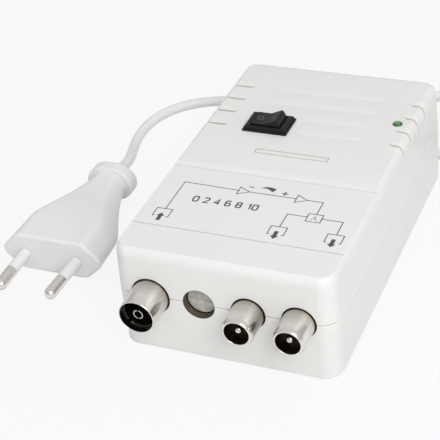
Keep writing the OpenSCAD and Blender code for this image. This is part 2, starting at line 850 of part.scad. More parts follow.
module male_shell(x) {
  taper = can_setback + 1.6;
  nose_z = male_len - male_nose_l;
  nose_r = male_bore_r + 0.35;
  color("#c9c8c4")
    on_front(x)
      rotate_extrude()
        polygon([
          [throat_r, -spigot_l], [spigot_r, -spigot_l], [spigot_r, 0],
          [male_base_r + flange_w, 0], [male_base_r + flange_w, flange_t],
          [male_base_r, flange_t], [male_base_r, taper], [male_r, taper + 1.2], [male_r, nose_z],
          [nose_r + 0.15, male_len - 0.15], [nose_r, male_len], [male_bore_r, male_len],
          [male_bore_r, seat_z], [throat_r, seat_z]]);
}

module insulator(x, r, hole) {
  color("#1d1d1f")
    on_front(x)
      translate([0, 0, seat_z])
        difference() {
          cylinder(r = r - slip / 2, h = insulator_t);
          translate([0, 0, -1])
            cylinder(r = hole + slip / 2, h = insulator_t + 2);
        }
}

// The wire that joins a connector's centre to the amplifier board
module solder_tail(x) {
  translate([x, tail_y, board_top])
    cylinder(r = tail_r, h = board_below_axis);
}

module centre_pin(x) {
  tip = male_len - 1;
  color("#d0cec8") {
    on_front(x)
      rotate_extrude()
        polygon(concat(
          [[0, -pin_back], [pin_r, -pin_back], [pin_r, tip - pin_r]],
          quarter(0, tip - pin_r, pin_r, 6)));
    solder_tail(x);
  }
}

module input_shell() {
  color("#c9c8c4")
    on_front(input_x)
      rotate_extrude()
        polygon([
          [throat_r, -spigot_l], [spigot_r, -spigot_l], [spigot_r, 0],
          [female_base_r + flange_w, 0], [female_base_r + flange_w, flange_t],
          [female_base_r, flange_t], [female_base_r, can_setback + 1],
          [female_mouth_r, female_len - rim / 2], [female_mouth_r - rim / 2, female_len],
          [sleeve_seat_r, female_len], [sleeve_seat_r, seat_z], [throat_r, seat_z]]);
}

module input_sleeve() {
  foot = seat_z + insulator_t;
  sleeve_l = female_len - 2.4 - foot;
  slot_w = 0.9;
  slot_foot = 2.5;
  color("#b9b7b0")
    on_front(input_x)
      translate([0, 0, foot])
        difference() {
          cylinder(r = sleeve_bore_r + sleeve_t, h = sleeve_l);
          translate([0, 0, -1])
            cylinder(r = sleeve_bore_r, h = sleeve_l + 2);
          for (i = [0 : sleeve_slots - 1])
            rotate([0, 0, 45 + i * 360 / sleeve_slots])
              translate([0, -slot_w / 2, slot_foot])
                cube([sleeve_seat_r + 1, slot_w, sleeve_l]);
        }
}

module input_contact() {
  tip = female_len - 1.5;
  floor_z = can_setback;
  slit_w = 0.4;
  slit_l = 4.5;
  color("#d8d2c0") {
    on_front(input_x)
      difference() {
        translate([0, 0, -pin_back])
          cylinder(r = contact_r, h = tip + pin_back);
        translate([0, 0, floor_z])
          cylinder(r = pin_r, h = tip);
        translate([0, 0, tip])
          cube([slit_w, 4 * contact_r, 2 * slit_l], center = true);
      }
    solder_tail(input_x);
  }
}

module input_insulator() {
  insulator(input_x, sleeve_seat_r, contact_r);
}

module left_output_shell() {
  male_shell(left_x);
}

module left_output_insulator() {
  insulator(left_x, male_bore_r, pin_r);
}

module left_output_pin() {
  centre_pin(left_x);
}

module right_output_shell() {
  male_shell(right_x);
}

module right_output_insulator() {
  insulator(right_x, male_bore_r, pin_r);
}

module right_output_pin() {
  centre_pin(right_x);
}

// Gain adjuster

module gain_knob() {
  slot_w = 0.6;
  slot_d = 0.4;
  color("#b4b0a4")
    on_front(gain_x)
      difference() {
        union() {
          translate([0, 0, knob_back])
            cylinder(r = gain_knob_r, h = knob_face - knob_back);
          translate([0, 0, hub_back])
            cylinder(r = 2.2, h = knob_back - hub_back + eps);
          translate([0, 0, pot_front - 4])
            cylinder(r = pot_shaft_r, h = hub_back - pot_front + 4 + eps);
        }
        translate([0, 0, knob_face])
          cube([1.5 * gain_knob_r, slot_w, 2 * slot_d], center = true);
      }
}

module gain_pot() {
  pot_w = 9.6;
  color("#3a4a63")
    on_front(gain_x)
      difference() {
        translate([-pot_w / 2, -board_below_axis, pot_front - pot_l])
          cube([pot_w, board_below_axis + 4.4, pot_l]);
        translate([0, 0, pot_front - 5])
          cylinder(r = pot_shaft_r + pivot_fit, h = 6);
      }
}

// Screened amplifier

module shield_can() {
  color("#a9aaa6") {
    difference() {
      translate([-can_w / 2, can_face_y, can_lift])
        cube([can_w, can_l, can_h]);
      translate([can_t - can_w / 2, can_face_y + can_t, can_lift + can_t])
        cube([can_w - 2 * can_t, can_l - 2 * can_t, can_h]);
      for (x = [input_x, left_x, right_x])
        on_front(x)
          cylinder(r = spigot_r + slip, h = 4 * can_t, center = true);
      on_front(gain_x)
        cylinder(r = gain_knob_r + run, h = 4 * can_t, center = true);
    }
    at_can_posts()
      translate([0, 0, can_lift + can_t / 2])
        cylinder(r = 1.6, h = board_top - board_t - can_lift - can_t / 2);
  }
}

module shield_lid() {
  lid_z = can_lift + can_h;
  skirt = 2;
  color("#b3b4b0")
    difference() {
      union() {
        translate([-can_w / 2, can_face_y, lid_z])
          cube([can_w, can_l, can_t]);
        translate([can_t + slip - can_w / 2, can_face_y + can_t + slip, lid_z - skirt])
          cube([can_w - 2 * (can_t + slip), can_l - 2 * (can_t + slip), skirt]);
      }
      translate([2 * can_t - can_w / 2, can_face_y + 2 * can_t, lid_z - skirt - 1])
        cube([can_w - 4 * can_t, can_l - 4 * can_t, skirt + 1]);
    }
}

module amplifier_board() {
  edge = can_t + run;
  color("#2c6a45")
    translate([edge - can_w / 2, can_face_y + edge, board_top - board_t])
      cube([can_w - 2 * edge, can_l - 2 * edge, board_t]);
}

module amplifier_chips() {
  chip_w = 6;
  chip_l = 5;
  chip_t = 1.6;
  color("#222224")
    for (p = [[-17, 20], [6, 18], [18, 12]])
      translate([p[0], can_rear_y - p[1], board_top])
        difference() {
          translate([-chip_w / 2, -chip_l / 2, 0])
            cube([chip_w, chip_l, chip_t]);
          translate([0.8 - chip_w / 2, 0.8 - chip_l / 2, chip_t - 0.2])
            cylinder(r = 0.4, h = 1);
        }
}

// Power supply

module power_board() {
  color("#8a6f35")
    difference() {
      translate([-power_w / 2, power_front_y, power_lift])
        cube([power_w, power_l, board_t]);
      at_power_posts()
        translate([0, 0, power_lift - 1])
          cylinder(r = post_screw_r + slip, h = board_t + 2);
    }
}

module board_screws() {
  color("silver")
    at_power_posts()
      translate([0, 0, power_top]) {
        cylinder(r = 2.1, h = 1.4);
        translate([0, 0, -5])
          cylinder(r = post_screw_r, h = 5.5);
      }
}

module transformer_core() {
  window_h = core_h - 2 * core_yoke;
  color("#5c5e61")
    translate([core_x, core_y, power_top + core_h / 2])
      difference() {
        cube([core_w, core_t, core_h], center = true);
        for (sx = [-1, 1])
          translate([sx * (core_limb + window_w) / 2, 0, 0])
            cube([window_w, core_t + 2, window_h], center = true);
      }
}

// A square ring that goes round the core's middle limb
module limb_ring(side, front, h, gap) {
  difference() {
    cube([core_limb + 2 * side, core_t + 2 * front, h], center = true);
    cube([core_limb + 2 * gap, core_t + 2 * gap, h + 2], center = true);
  }
}

module transformer_bobbin() {
  window_h = core_h - 2 * core_yoke - 2 * slip;
  flange = 0.8;
  color("#d8d2c2")
    translate([core_x, core_y, power_top + core_h / 2]) {
      limb_ring(slip + 0.8, slip + 0.8, window_h, slip);
      for (sz = [-1, 1])
        translate([0, 0, sz * (window_h - flange) / 2])
          limb_ring(window_w - slip, winding_reach + 0.4, flange, slip);
    }
}

module transformer_winding() {
  flange = 0.8;
  winding_h = core_h - 2 * core_yoke - 2 * (slip + flange) - slip;
  color("#b8742e")
    translate([core_x, core_y, power_top + core_h / 2])
      limb_ring(window_w - 0.4, winding_reach, winding_h, 2 * slip + 0.8);
}

module smoothing_capacitor() {
  r = capacitor_r;
  h = capacitor_h;
  groove = 0.45;
  color("#20304c")
    translate([capacitor_x, capacitor_y, power_top])
      rotate_extrude()
        polygon([
          [0, 0], [r, 0], [r, 1.6], [r - groove, 1.6 + groove], [r, 1.6 + 2 * groove],
          [r, h - 0.3], [r - 0.3, h], [0, h]]);
}

module rectifier_diodes() {
  color("#2a2a2c")
    for (i = [0 : 3])
      translate([diode_x, core_y + (i - 0.5) * diode_step + 2, power_top + 1.8]) {
        rotate([0, 90, 0])
          cylinder(r = 1.3, h = diode_l, center = true);
        rotate([0, 90, 0])
          cylinder(r = 0.4, h = 7, center = true);
        for (sx = [-1, 1])
          translate([sx * 3.2, 0, -0.8])
            cube([0.6, 0.6, 2], center = true);
      }
}

module voltage_regulator() {
  color("#303033")
    translate([regulator_x, power_front_y + 12, power_top]) {
      translate([0, 0, 8.5])
        cube([regulator_w, 4.4, 9], center = true);
      difference() {
        translate([0, 1.6, 14.5])
          cube([regulator_w, 1.2, 6], center = true);
        translate([0, 1.6, 15])
          rotate([90, 0, 0])
            cylinder(r = 1.8, h = 3, center = true);
      }
      for (dx = [-2.54, 0, 2.54])
        translate([dx, 0, 2.1])
          cube([0.8, 0.5, 4.2], center = true);
    }
}

module mains_fuse() {
  glass_r = fuse_r - 0.2;
  cap_l = 5.4;
  glass_half = fuse_half - cap_l;
  color("#cfd6d8")
    translate([0, fuse_y, fuse_z])
      rotate([0, 90, 0])
        rotate_extrude()
          polygon([
            [0, -fuse_half], [fuse_r, -fuse_half], [fuse_r, -glass_half], [glass_r, -glass_half],
            [glass_r, glass_half], [fuse_r, glass_half], [fuse_r, fuse_half], [0, fuse_half]]);
}

module fuse_clips() {
  color("silver")
    for (sx = [-1, 1])
      translate([sx * 7.5, fuse_y, 0])
        difference() {
          translate([-2, -3.4, power_top])
            cube([4, 6.8, 5.2]);
          translate([0, 0, fuse_z])
            rotate([0, 90, 0])
              cylinder(r = fuse_r + slip / 2, h = 6, center = true);
          translate([-3, -2, fuse_z])
            cube([6, 4, 4]);
        }
}

// Insulated wires inside the housing
module mains_wires() {
  color("#7a4a2a")
    for (way = [switch_wire, fuse_wire, winding_wire])
      tube(way, wire_r, wire_sides);
}

module supply_wire() {
  color("firebrick")
    tube(can_wire, wire_r, wire_sides, [unit([0, -0.1, 1]), [0, -1, 0]]);
}

// Mains lead

module cord_gland() {
  ribs = 5;
  rib_step = (relief_l - 4) / ribs;
  tip_r = cord_r + 0.9;
  color("whitesmoke")
    translate([gland_x, rear_y, gland_z])
      rotate([-90, 0, 0])
        difference() {
          union() {
            translate([0, 0, -wall - gland_flange_t])
              cylinder(r = gland_flange_r, h = gland_flange_t - slip);
            translate([0, 0, -wall - 1])
              cylinder(r = relief_r, h = wall + 1);
            rotate_extrude()
              polygon([
                [0, -eps], [relief_r, -eps], [relief_r, 1], [tip_r, relief_l - 0.4],
                [tip_r - 0.4, relief_l], [0, relief_l]]);
          }
          for (i = [0 : ribs - 1])
            translate([0, 0, 2.4 + i * rib_step])
              difference() {
                cylinder(r = relief_r + 1, h = 1.2);
                translate([0, 0, -1])
                  cylinder(r = cord_r + 0.5, h = 4);
              }
        }
}

// The coil winds in on its upper layer, drops a layer as it turns back, and winds out on the lower one
function coil_point(t) =
  let (
    a = coil_start - 360 * t,
    from_middle = t - coil_total / 2,
    r = coil_in_r + turn_step * abs(from_middle),
    drop = min(max(4 * from_middle, -1), 1),
    z = (high_z + low_z) / 2 - turn_step / 2 * sin(90 * drop))
  [coil_mid[0] + r * cos(a), coil_mid[1] + r * sin(a), z];
coil_turn_path =
  let (n = ceil(coil_total * coil_rings))
  [for (i = [0 : n]) coil_point(coil_total * i / n)];
coil_way_in = unit(coil_turn_path[1] - coil_turn_path[0]);
coil_way_out = unit(coil_turn_path[len(coil_turn_path) - 1] - coil_turn_path[len(coil_turn_path) - 2]);
coil_entry = coil_turn_path[0] - cord_d * coil_way_in;
coil_exit = coil_turn_path[len(coil_turn_path) - 1] + cord_d * coil_way_out;
coil_path = concat([coil_entry], coil_turn_path, [coil_exit]);
gland_path = concat([[gland_x, gland_y, gland_z]], gland_route, [coil_entry]);
plug_path = concat([coil_exit], plug_route, [[plug_x, plug_end_y + root_l, plug_z]]);

module gland_cord() {
  color("whitesmoke")
    tube(gland_path, cord_r, cord_sides, [[0, 1, 0], coil_way_in]);
}

module cord_coil() {
  color("whitesmoke")
    tube(coil_path, cord_r, coil_sides, [coil_way_in, coil_way_out]);
}

module cord_tie() {
  mid_r = (coil_in_r + coil_out_r) / 2;
  hole_w = coil_out_r - coil_in_r + cord_d + 2 * run;
  hole_h = high_z - low_z + cord_d + 2 * run;
  color("white")
    translate([coil_mid[0] + mid_r, coil_mid[1], (high_z + low_z) / 2])
      rotate([90, 0, 0])
        linear_extrude(tie_w, center = true)
          difference() {
            round_rect(hole_w + 2 * tie_t, hole_h + 2 * tie_t, cord_r);
            round_rect(hole_w, hole_h, cord_r - tie_t);
          }
}

module plug_cord() {
  color("whitesmoke")
    tube(plug_path, cord_r, cord_sides, [coil_way_out, [0, -1, 0]]);
}

// Plug

// Half the plug's width at a share of its length, wide in front and drawn in to the neck
function plug_half(s) =
  let (
    flare = 0.28,
    k = max(0, (s - flare) / (1 - flare)),
    lean = 1 - 0.06 * min(1, s / flare))
  neck_w / 2 + (plug_w - neck_w) / 2 * lean * pow(cos(90 * k), 1.5);
function plug_section(s) =
  let (
    w = plug_half(s),
    h = plug_t / 2 - 0.9 * s,
    flat_w = w - 5.8 + 3 * s,
    edge = 1.2)
  [[w, -edge], [w, edge], [flat_w, h], [-flat_w, h], [-w, edge], [-w, -edge], [-flat_w, -h], [flat_w, -h]];

module plug_form() {
  stations = 16;
  loft([for (i = [0 : stations])
    [for (p = plug_section(i / stations)) [p[0], plug_l * i / stations, p[1]]]]);
}

// Puts something on each pin's axis, pointing to the front
module on_prongs() {
  for (sx = [-1, 1])
    translate([plug_x + sx * prong_gap / 2, plug_y, plug_z])
      rotate([0, 0, -sx * prong_lean])
        rotate([90, 0, 0])
          children();
}

module plug_body() {
  collar_h = 11.4;
  color("whitesmoke")
    difference() {
      translate([plug_x, plug_y, plug_z]) {
        plug_form();
        translate([0, plug_l + collar_l, 0])
          rotate([90, 0, 0])
            linear_extrude(collar_l + 0.5)
              round_rect(collar_w, collar_h, 2.4);
        translate([0, plug_l + collar_l, 0])
          rotate([-90, 0, 0])
            cylinder(r1 = cord_r + 1.6, r2 = cord_r + 0.5, h = root_l);
      }
      on_prongs()
        translate([0, 0, -prong_seat])
          cylinder(r = prong_core_r + slip / 2, h = prong_seat + 2);
    }
}

module plug_pin_sleeves() {
  color("whitesmoke")
    on_prongs()
      translate([0, 0, 0.15])
        difference() {
          cylinder(r = prong_r - 0.1, h = prong_sleeve - 0.15);
          translate([0, 0, -1])
            cylinder(r = prong_core_r + slip / 2, h = prong_sleeve + 2);
        }
}

module plug_pins() {
  color("silver")
    on_prongs()
      rotate_extrude()
        polygon(concat(
          [[0, -prong_seat], [prong_core_r, -prong_seat],
            [prong_core_r, prong_sleeve], [prong_r, prong_sleeve]],
          quarter(0, prong_l - prong_r, prong_r, 6)));
}

// Measures printed for the lead
function sum(v, i = 0) = i < len(v) ? v[i] + sum(v, i + 1) : 0;
function length_of(p) = sum([for (i = [1 : len(p) - 1]) norm(p[i] - p[i - 1])]);
echo(lead_mm = [for (p = [gland_path, coil_path, plug_path]) length_of(p)]);
echo(coil_least_gap_mm = let (p = coil_path, n = len(p), near = ceil(coil_rings / 2))
  min([for (i = [0 : n - 1 - near], j = [i + near : n - 1]) norm(p[j] - p[i])]) - cord_d);

top_cover();
base_shell();
label();
housing_screws();
switch_body();
switch_rocker();
switch_terminals();
power_led();
led_leads();
input_shell();
input_sleeve();
input_insulator();
input_contact();
left_output_shell();
left_output_insulator();
left_output_pin();
right_output_shell();
right_output_insulator();
right_output_pin();
gain_knob();
gain_pot();
shield_can();
shield_lid();
amplifier_board();
amplifier_chips();
power_board();
board_screws();
transformer_core();
transformer_bobbin();
transformer_winding();
smoothing_capacitor();
rectifier_diodes();
voltage_regulator();
mains_fuse();
fuse_clips();
mains_wires();
supply_wire();
cord_gland();
gland_cord();
cord_coil();
cord_tie();
plug_cord();
plug_body();
plug_pin_sleeves();
plug_pins();
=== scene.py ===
import json
import math

import bmesh
import bpy
from mathutils import Matrix, Vector


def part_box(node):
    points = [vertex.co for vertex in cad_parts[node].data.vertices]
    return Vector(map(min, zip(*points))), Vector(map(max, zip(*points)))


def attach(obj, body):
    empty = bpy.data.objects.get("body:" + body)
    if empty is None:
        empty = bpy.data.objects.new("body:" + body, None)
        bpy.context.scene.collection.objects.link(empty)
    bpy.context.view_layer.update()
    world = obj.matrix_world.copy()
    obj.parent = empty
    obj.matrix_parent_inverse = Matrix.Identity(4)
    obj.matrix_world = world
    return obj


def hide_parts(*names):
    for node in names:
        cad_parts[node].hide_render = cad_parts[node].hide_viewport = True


MM = 0.001

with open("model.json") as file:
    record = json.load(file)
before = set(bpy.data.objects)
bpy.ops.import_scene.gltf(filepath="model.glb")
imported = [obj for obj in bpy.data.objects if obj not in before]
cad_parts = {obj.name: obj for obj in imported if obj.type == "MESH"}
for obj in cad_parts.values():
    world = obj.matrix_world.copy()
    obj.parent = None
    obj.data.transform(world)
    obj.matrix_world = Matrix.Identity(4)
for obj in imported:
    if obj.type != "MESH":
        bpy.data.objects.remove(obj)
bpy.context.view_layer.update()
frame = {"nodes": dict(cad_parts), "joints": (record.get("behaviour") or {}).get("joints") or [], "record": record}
nodes = frame["nodes"]
joints = {joint["name"]: joint for joint in frame["joints"]}
scene = bpy.context.scene
scene.view_settings.view_transform = "Standard"
for spare in ("Camera", "Light"):
    if spare in bpy.data.objects:
        bpy.data.objects.remove(bpy.data.objects[spare])


# Camera of the photograph

CAMERA_PLACE = (0.13806, -0.33361, 0.26499)
CAMERA_AZIMUTH = math.radians(26.02)
CAMERA_ELEVATION = math.radians(34.76)
CAMERA_ROLL = math.radians(-6.69)
CAMERA_SENSOR = 36
CAMERA_LENS = 113.6


def make_camera():
    back = Vector((
        math.sin(CAMERA_AZIMUTH) * math.cos(CAMERA_ELEVATION),
        -math.cos(CAMERA_AZIMUTH) * math.cos(CAMERA_ELEVATION),
        math.sin(CAMERA_ELEVATION),
    ))
    level = Vector((math.cos(CAMERA_AZIMUTH), math.sin(CAMERA_AZIMUTH), 0))
    rise = back.cross(level)
    right = math.cos(CAMERA_ROLL) * level + math.sin(CAMERA_ROLL) * rise
    up = math.cos(CAMERA_ROLL) * rise - math.sin(CAMERA_ROLL) * level
    data = bpy.data.cameras.new("view")
    data.sensor_width = CAMERA_SENSOR
    data.lens = CAMERA_LENS
    data.clip_start = 0.01
    camera = bpy.data.objects.new("view", data)
    turn = Matrix((right, up, back)).transposed().to_4x4()
    camera.matrix_world = Matrix.Translation(CAMERA_PLACE) @ turn
    scene.collection.objects.link(camera)
    scene.camera = camera


make_camera()


# Places on the frame, in millimetres

def box_mm(node):
    """Lowest and highest corner of a node at rest."""
    low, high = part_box(node)
    return low / MM, high / MM


def middle_mm(node):
    low, high = box_mm(node)
    return (low + high) / 2


def joint_mm(name):
    """Place of a joint's axis."""
    return Vector(joints[name]["pos_m"]) / MM


FRONT_Y = box_mm("top_cover")[0].y
FILM_TOP = box_mm("label")[1].z
LED_MIDDLE = middle_mm("power_led")
GAIN_AXIS = joint_mm("gain_turn")


# Shader helpers

finishes = {}
# Length of one wave of a wave texture at scale 1
WAVE_PERIOD = 0.314
# Where the colour of the painted crease shade changes: along Y behind the label, and along Z from the walls to the
# top
LABEL_END_MM = (-5, 5)
WALL_END_MM = (24, 28)


def start_material(name, colour, rough, metallic=0.0):
    """A new material in the list of finishes, with its node tree and its shader."""
    material = bpy.data.materials.new(name)
    material.use_nodes = True
    material.diffuse_color = (*colour, 1)
    tree = material.node_tree
    shader = tree.nodes["Principled BSDF"]
    shader.inputs["Base Color"].default_value = (*colour, 1)
    shader.inputs["Roughness"].default_value = rough
    shader.inputs["Metallic"].default_value = metallic
    finishes[name] = material
    return tree, shader


def operate(tree, kind, operation, first, second=None):
    """A maths node of a shader or a geometry group, on sockets or plain numbers."""
    node = tree.nodes.new(kind)
    node.operation = operation
    for socket, value in zip(node.inputs, (first, second)):
        if isinstance(value, (int, float)):
            socket.default_value = value
        elif value is not None:
            tree.links.new(value, socket)
    return node.outputs[0]


def coordinates(tree, stretch=(1, 1, 1)):
    place = tree.nodes.new("ShaderNodeTexCoord")
    if stretch == (1, 1, 1):
        return place.outputs["Object"]
    mapping = tree.nodes.new("ShaderNodeMapping")
    mapping.inputs["Scale"].default_value = stretch
    tree.links.new(place.outputs["Object"], mapping.inputs["Vector"])
    return mapping.outputs["Vector"]


def noise(tree, size_mm, detail=3, stretch=(1, 1, 1)):
    node = tree.nodes.new("ShaderNodeTexNoise")
    node.inputs["Scale"].default_value = 1 / (size_mm * MM)
    node.inputs["Detail"].default_value = detail
    tree.links.new(coordinates(tree, stretch), node.inputs["Vector"])
    return node.outputs["Fac"]


def bands(tree, pitch_mm, direction):
    """Waves across one axis."""
    node = tree.nodes.new("ShaderNodeTexWave")
    node.wave_type = "BANDS"
    node.bands_direction = direction
    node.inputs["Scale"].default_value = WAVE_PERIOD / (pitch_mm * MM)
    tree.links.new(coordinates(tree), node.inputs["Vector"])
    return node.outputs["Fac"]


def spread(tree, value, low, high, start=0.3, end=0.7):
    """A value that goes from low to high while another goes from start to end."""
    node = tree.nodes.new("ShaderNodeMapRange")
    node.inputs["From Min"].default_value = start
    node.inputs["From Max"].default_value = end
    node.inputs["To Min"].default_value = low
    node.inputs["To Max"].default_value = high
    tree.links.new(value, node.inputs["Value"])
    return node.outputs["Result"]


def blend_colours(tree, share, first, second):
    node = tree.nodes.new("ShaderNodeMix")
    node.data_type = "RGBA"
    tree.links.new(share, node.inputs["Factor"])
    for socket, colour in ((node.inputs["A"], first), (node.inputs["B"], second)):
        if isinstance(colour, tuple):
            socket.default_value = (*colour, 1)
        else:
            tree.links.new(colour, socket)
    return node.outputs["Result"]


def bump(tree, shader, height, depth_mm):
    node = tree.nodes.new("ShaderNodeBump")
    node.inputs["Distance"].default_value = depth_mm * MM
    tree.links.new(height, node.inputs["Height"])
    tree.links.new(node.outputs["Normal"], shader.inputs["Normal"])


def darker(colour, share):
    return tuple(c * (1 - share) for c in colour)


def distance(tree, middle, flatten=(1, 1, 1)):
    """Distance of the surface from a point, along the axes that aren't flattened."""
    away = tree.nodes.new("ShaderNodeVectorMath")
    away.operation = "DISTANCE"
    away.inputs[1].default_value = middle
    tree.links.new(coordinates(tree, flatten), away.inputs[0])
    return away.outputs["Value"]


def shade_creases(tree, toned, crease_shade, reach_mm, start, end, deep=None):
    """Painted shade: a colour that turns to a darker one in narrow gaps and hollows, and to a third deep in a
    bore.
    """
    open_sky = tree.nodes.new("ShaderNodeAmbientOcclusion")
    open_sky.samples = 16
    open_sky.inputs["Distance"].default_value = reach_mm * MM
    share = spread(tree, open_sky.outputs["AO"], 0, 1, start, end)
    shaded = blend_colours(tree, share, crease_shade, toned)
    if deep:
        out_of_bore = spread(tree, open_sky.outputs["AO"], 0, 1, start=0.1, end=0.25)
        shaded = blend_colours(tree, out_of_bore, deep, shaded)
    return shaded


def shaded_round(tree, toned, middle, radius, colour):
    """A colour with painted shade within a radius of one place."""
    away = spread(tree, distance(tree, middle), 0, 1, start=0.98 * radius, end=radius)
    return blend_colours(tree, away, colour, toned)


def painted_shade_colour(tree, wall, label, grooves):
    """Colour of the painted shade in the creases: dark in the walls' gaps, pale round the label and between these
    at the grooves.
    """
    parts = tree.nodes.new("ShaderNodeSeparateXYZ")
    tree.links.new(coordinates(tree), parts.inputs["Vector"])
    behind_label = spread(tree, parts.outputs["Y"], 0, 1, *(y * MM for y in LABEL_END_MM))
    on_top = spread(tree, parts.outputs["Z"], 0, 1, *(z * MM for z in WALL_END_MM))
    return blend_colours(tree, on_top, wall, blend_colours(tree, behind_label, label, grooves))


def moulded(
        name, colour, rough, grain_mm=0.3, depth_mm=0.01, shade=0.03, cloud_mm=18, specular=0.5, crease_shade=None):
    """Moulded plastic or rubber: slow shifts of tone and gloss under a fine grain, with painted shade in creases
    and in the adjuster's hole when crease colours are given.
    """
    tree, shader = start_material(name, colour, rough)
    shader.inputs["Specular IOR Level"].default_value = specular
    cloud = spread(tree, noise(tree, cloud_mm, 4), 0, 1)
    toned = blend_colours(tree, cloud, darker(colour, shade), colour)
    # Painted shade: darker colour in creases and hollows, and in the adjuster's hole
    if crease_shade:
        toned = shade_creases(tree, toned, painted_shade_colour(tree, **crease_shade), reach_mm=3, start=0.1, end=0.65)
        toned = shaded_round(tree, toned, HOLE_SHADE_MIDDLE * MM, HOLE_SHADE_R * MM, HOLE_SHADE)
    tree.links.new(toned, shader.inputs["Base Color"])
    gloss = spread(tree, noise(tree, cloud_mm / 5, 3), rough - 0.05, rough + 0.05)
    tree.links.new(gloss, shader.inputs["Roughness"])
    bump(tree, shader, noise(tree, grain_mm, 2), depth_mm)


def metal(
        name, colour, rough, stretch=(1, 1, 1), grain_mm=0.25, depth_mm=0.006, shade=0.12,
        hollow_shade=None, deep=None):
    """Plated or bare metal with the fine lines of turning or rolling, and painted shade where it is hard to reach.
    """
    tree, shader = start_material(name, colour, rough, metallic=1.0)
    lines = noise(tree, grain_mm, 3, stretch)
    cloud = spread(tree, noise(tree, 6, 3), 0, 1)
    toned = blend_colours(tree, cloud, darker(colour, shade), colour)
    toned = shade_creases(tree, toned, hollow_shade or darker(colour, 0.8), reach_mm=9, start=0.3, end=0.95, deep=deep)
    tree.links.new(toned, shader.inputs["Base Color"])
    tree.links.new(spread(tree, lines, rough - 0.02, rough + 0.03), shader.inputs["Roughness"])
    bump(tree, shader, lines, depth_mm)


def layered(name, first, second, pitch_mm, direction, rough, metallic):
    """Stacked plates or neighbouring turns of wire."""
    tree, shader = start_material(name, first, rough, metallic)
    wave = bands(tree, pitch_mm, direction)
    tree.links.new(blend_colours(tree, wave, second, first), shader.inputs["Base Color"])
    tree.links.new(spread(tree, noise(tree, 2), rough - 0.06, rough + 0.06), shader.inputs["Roughness"])
    bump(tree, shader, wave, depth_mm=0.05)


def laminate(name, colour, track, pitch_mm):
    """Circuit board with a faint pattern of tracks under its lacquer."""
    tree, shader = start_material(name, colour, rough=0.4)
    cells = tree.nodes.new("ShaderNodeTexBrick")
    cells.inputs["Scale"].default_value = 1 / (pitch_mm * MM)
    cells.inputs["Color1"].default_value = (*colour, 1)
    cells.inputs["Color2"].default_value = (*darker(colour, 0.12), 1)
    cells.inputs["Mortar"].default_value = (*track, 1)
    cells.inputs["Mortar Size"].default_value = 0.05
    tree.links.new(coordinates(tree), cells.inputs["Vector"])
    tree.links.new(cells.outputs["Color"], shader.inputs["Base Color"])
    tree.links.new(spread(tree, noise(tree, 1.5), 0.32, 0.48), shader.inputs["Roughness"])
    bump(tree, shader, cells.outputs["Fac"], depth_mm=0.03)


def lens(name, rim, core, middle, radius):
    """Diffused pilot light: a dark rim round a paler core."""
    tree, shader = start_material(name, rim, rough=0.2)
    from_axis = distance(tree, middle, flatten=(1, 1, 0))
    share = spread(tree, from_axis, 1, 0, start=0.25 * radius, end=0.95 * radius)
    tree.links.new(blend_colours(tree, share, rim, core), shader.inputs["Base Color"])
    tree.links.new(spread(tree, noise(tree, 0.6), 0.14, 0.26), shader.inputs["Roughness"])
    shader.inputs["Coat Weight"].default_value = 0.5
    shader.inputs["Coat Roughness"].default_value = 0.1
    bump(tree, shader, noise(tree, 0.5), depth_mm=0.006)


def clear_glass(name, colour):
    tree, shader = start_material(name, colour, rough=0.05)
    shader.inputs["Transmission Weight"].default_value = 0.95
    shader.inputs["IOR"].default_value = 1.48
    tree.links.new(spread(tree, noise(tree, 2), 0.03, 0.09), shader.inputs["Roughness"])
    bump(tree, shader, noise(tree, 3), depth_mm=0.01)


# One finish for each slot of the record, and four for pieces that differ from their slot

# Painted shade in the adjuster's hole, round a place on its axis just behind the front
HOLE_SHADE = (0.085, 0.065, 0.045)
HOLE_SHADE_R = 5.03
HOLE_SHADE_SETBACK = 0.4
HOLE_SHADE_MIDDLE = Vector((GAIN_AXIS.x, FRONT_Y + HOLE_SHADE_SETBACK, GAIN_AXIS.z))
LED_R = 1.5
# Stretch of a metal's grain: rings round the connectors' axes, and lines along a rolled sheet
AXIAL = (0.02, 1, 0.02)
ROLLED = (1, 0.05, 1)
# Housing with painted shade: dark in the walls' gaps and at the grooves, pale round the label
moulded(
    "housing_plastic", (0.8, 0.805, 0.785), rough=0.34, grain_mm=0.35, depth_mm=0.006, shade=0.02,
    crease_shade={"wall": (0.4, 0.365, 0.315), "label": (0.76, 0.76, 0.74), "grooves": (0.42, 0.41, 0.38)})
moulded("label_film", (0.8, 0.8, 0.805), rough=0.5, grain_mm=0.6, depth_mm=0.004, shade=0.012)
metal("zinc_steel", (0.62, 0.62, 0.6), rough=0.34)
moulded(
    "switch_plastic", (0.009, 0.009, 0.0105), rough=0.33, grain_mm=0.25, depth_mm=0.008, shade=0.2,
    cloud_mm=6, specular=0.25)
lens(
    "green_lens", rim=(0.03, 0.085, 0.03), core=(0.13, 0.36, 0.11),
    middle=(LED_MIDDLE.x * MM, LED_MIDDLE.y * MM, 0), radius=LED_R * MM)
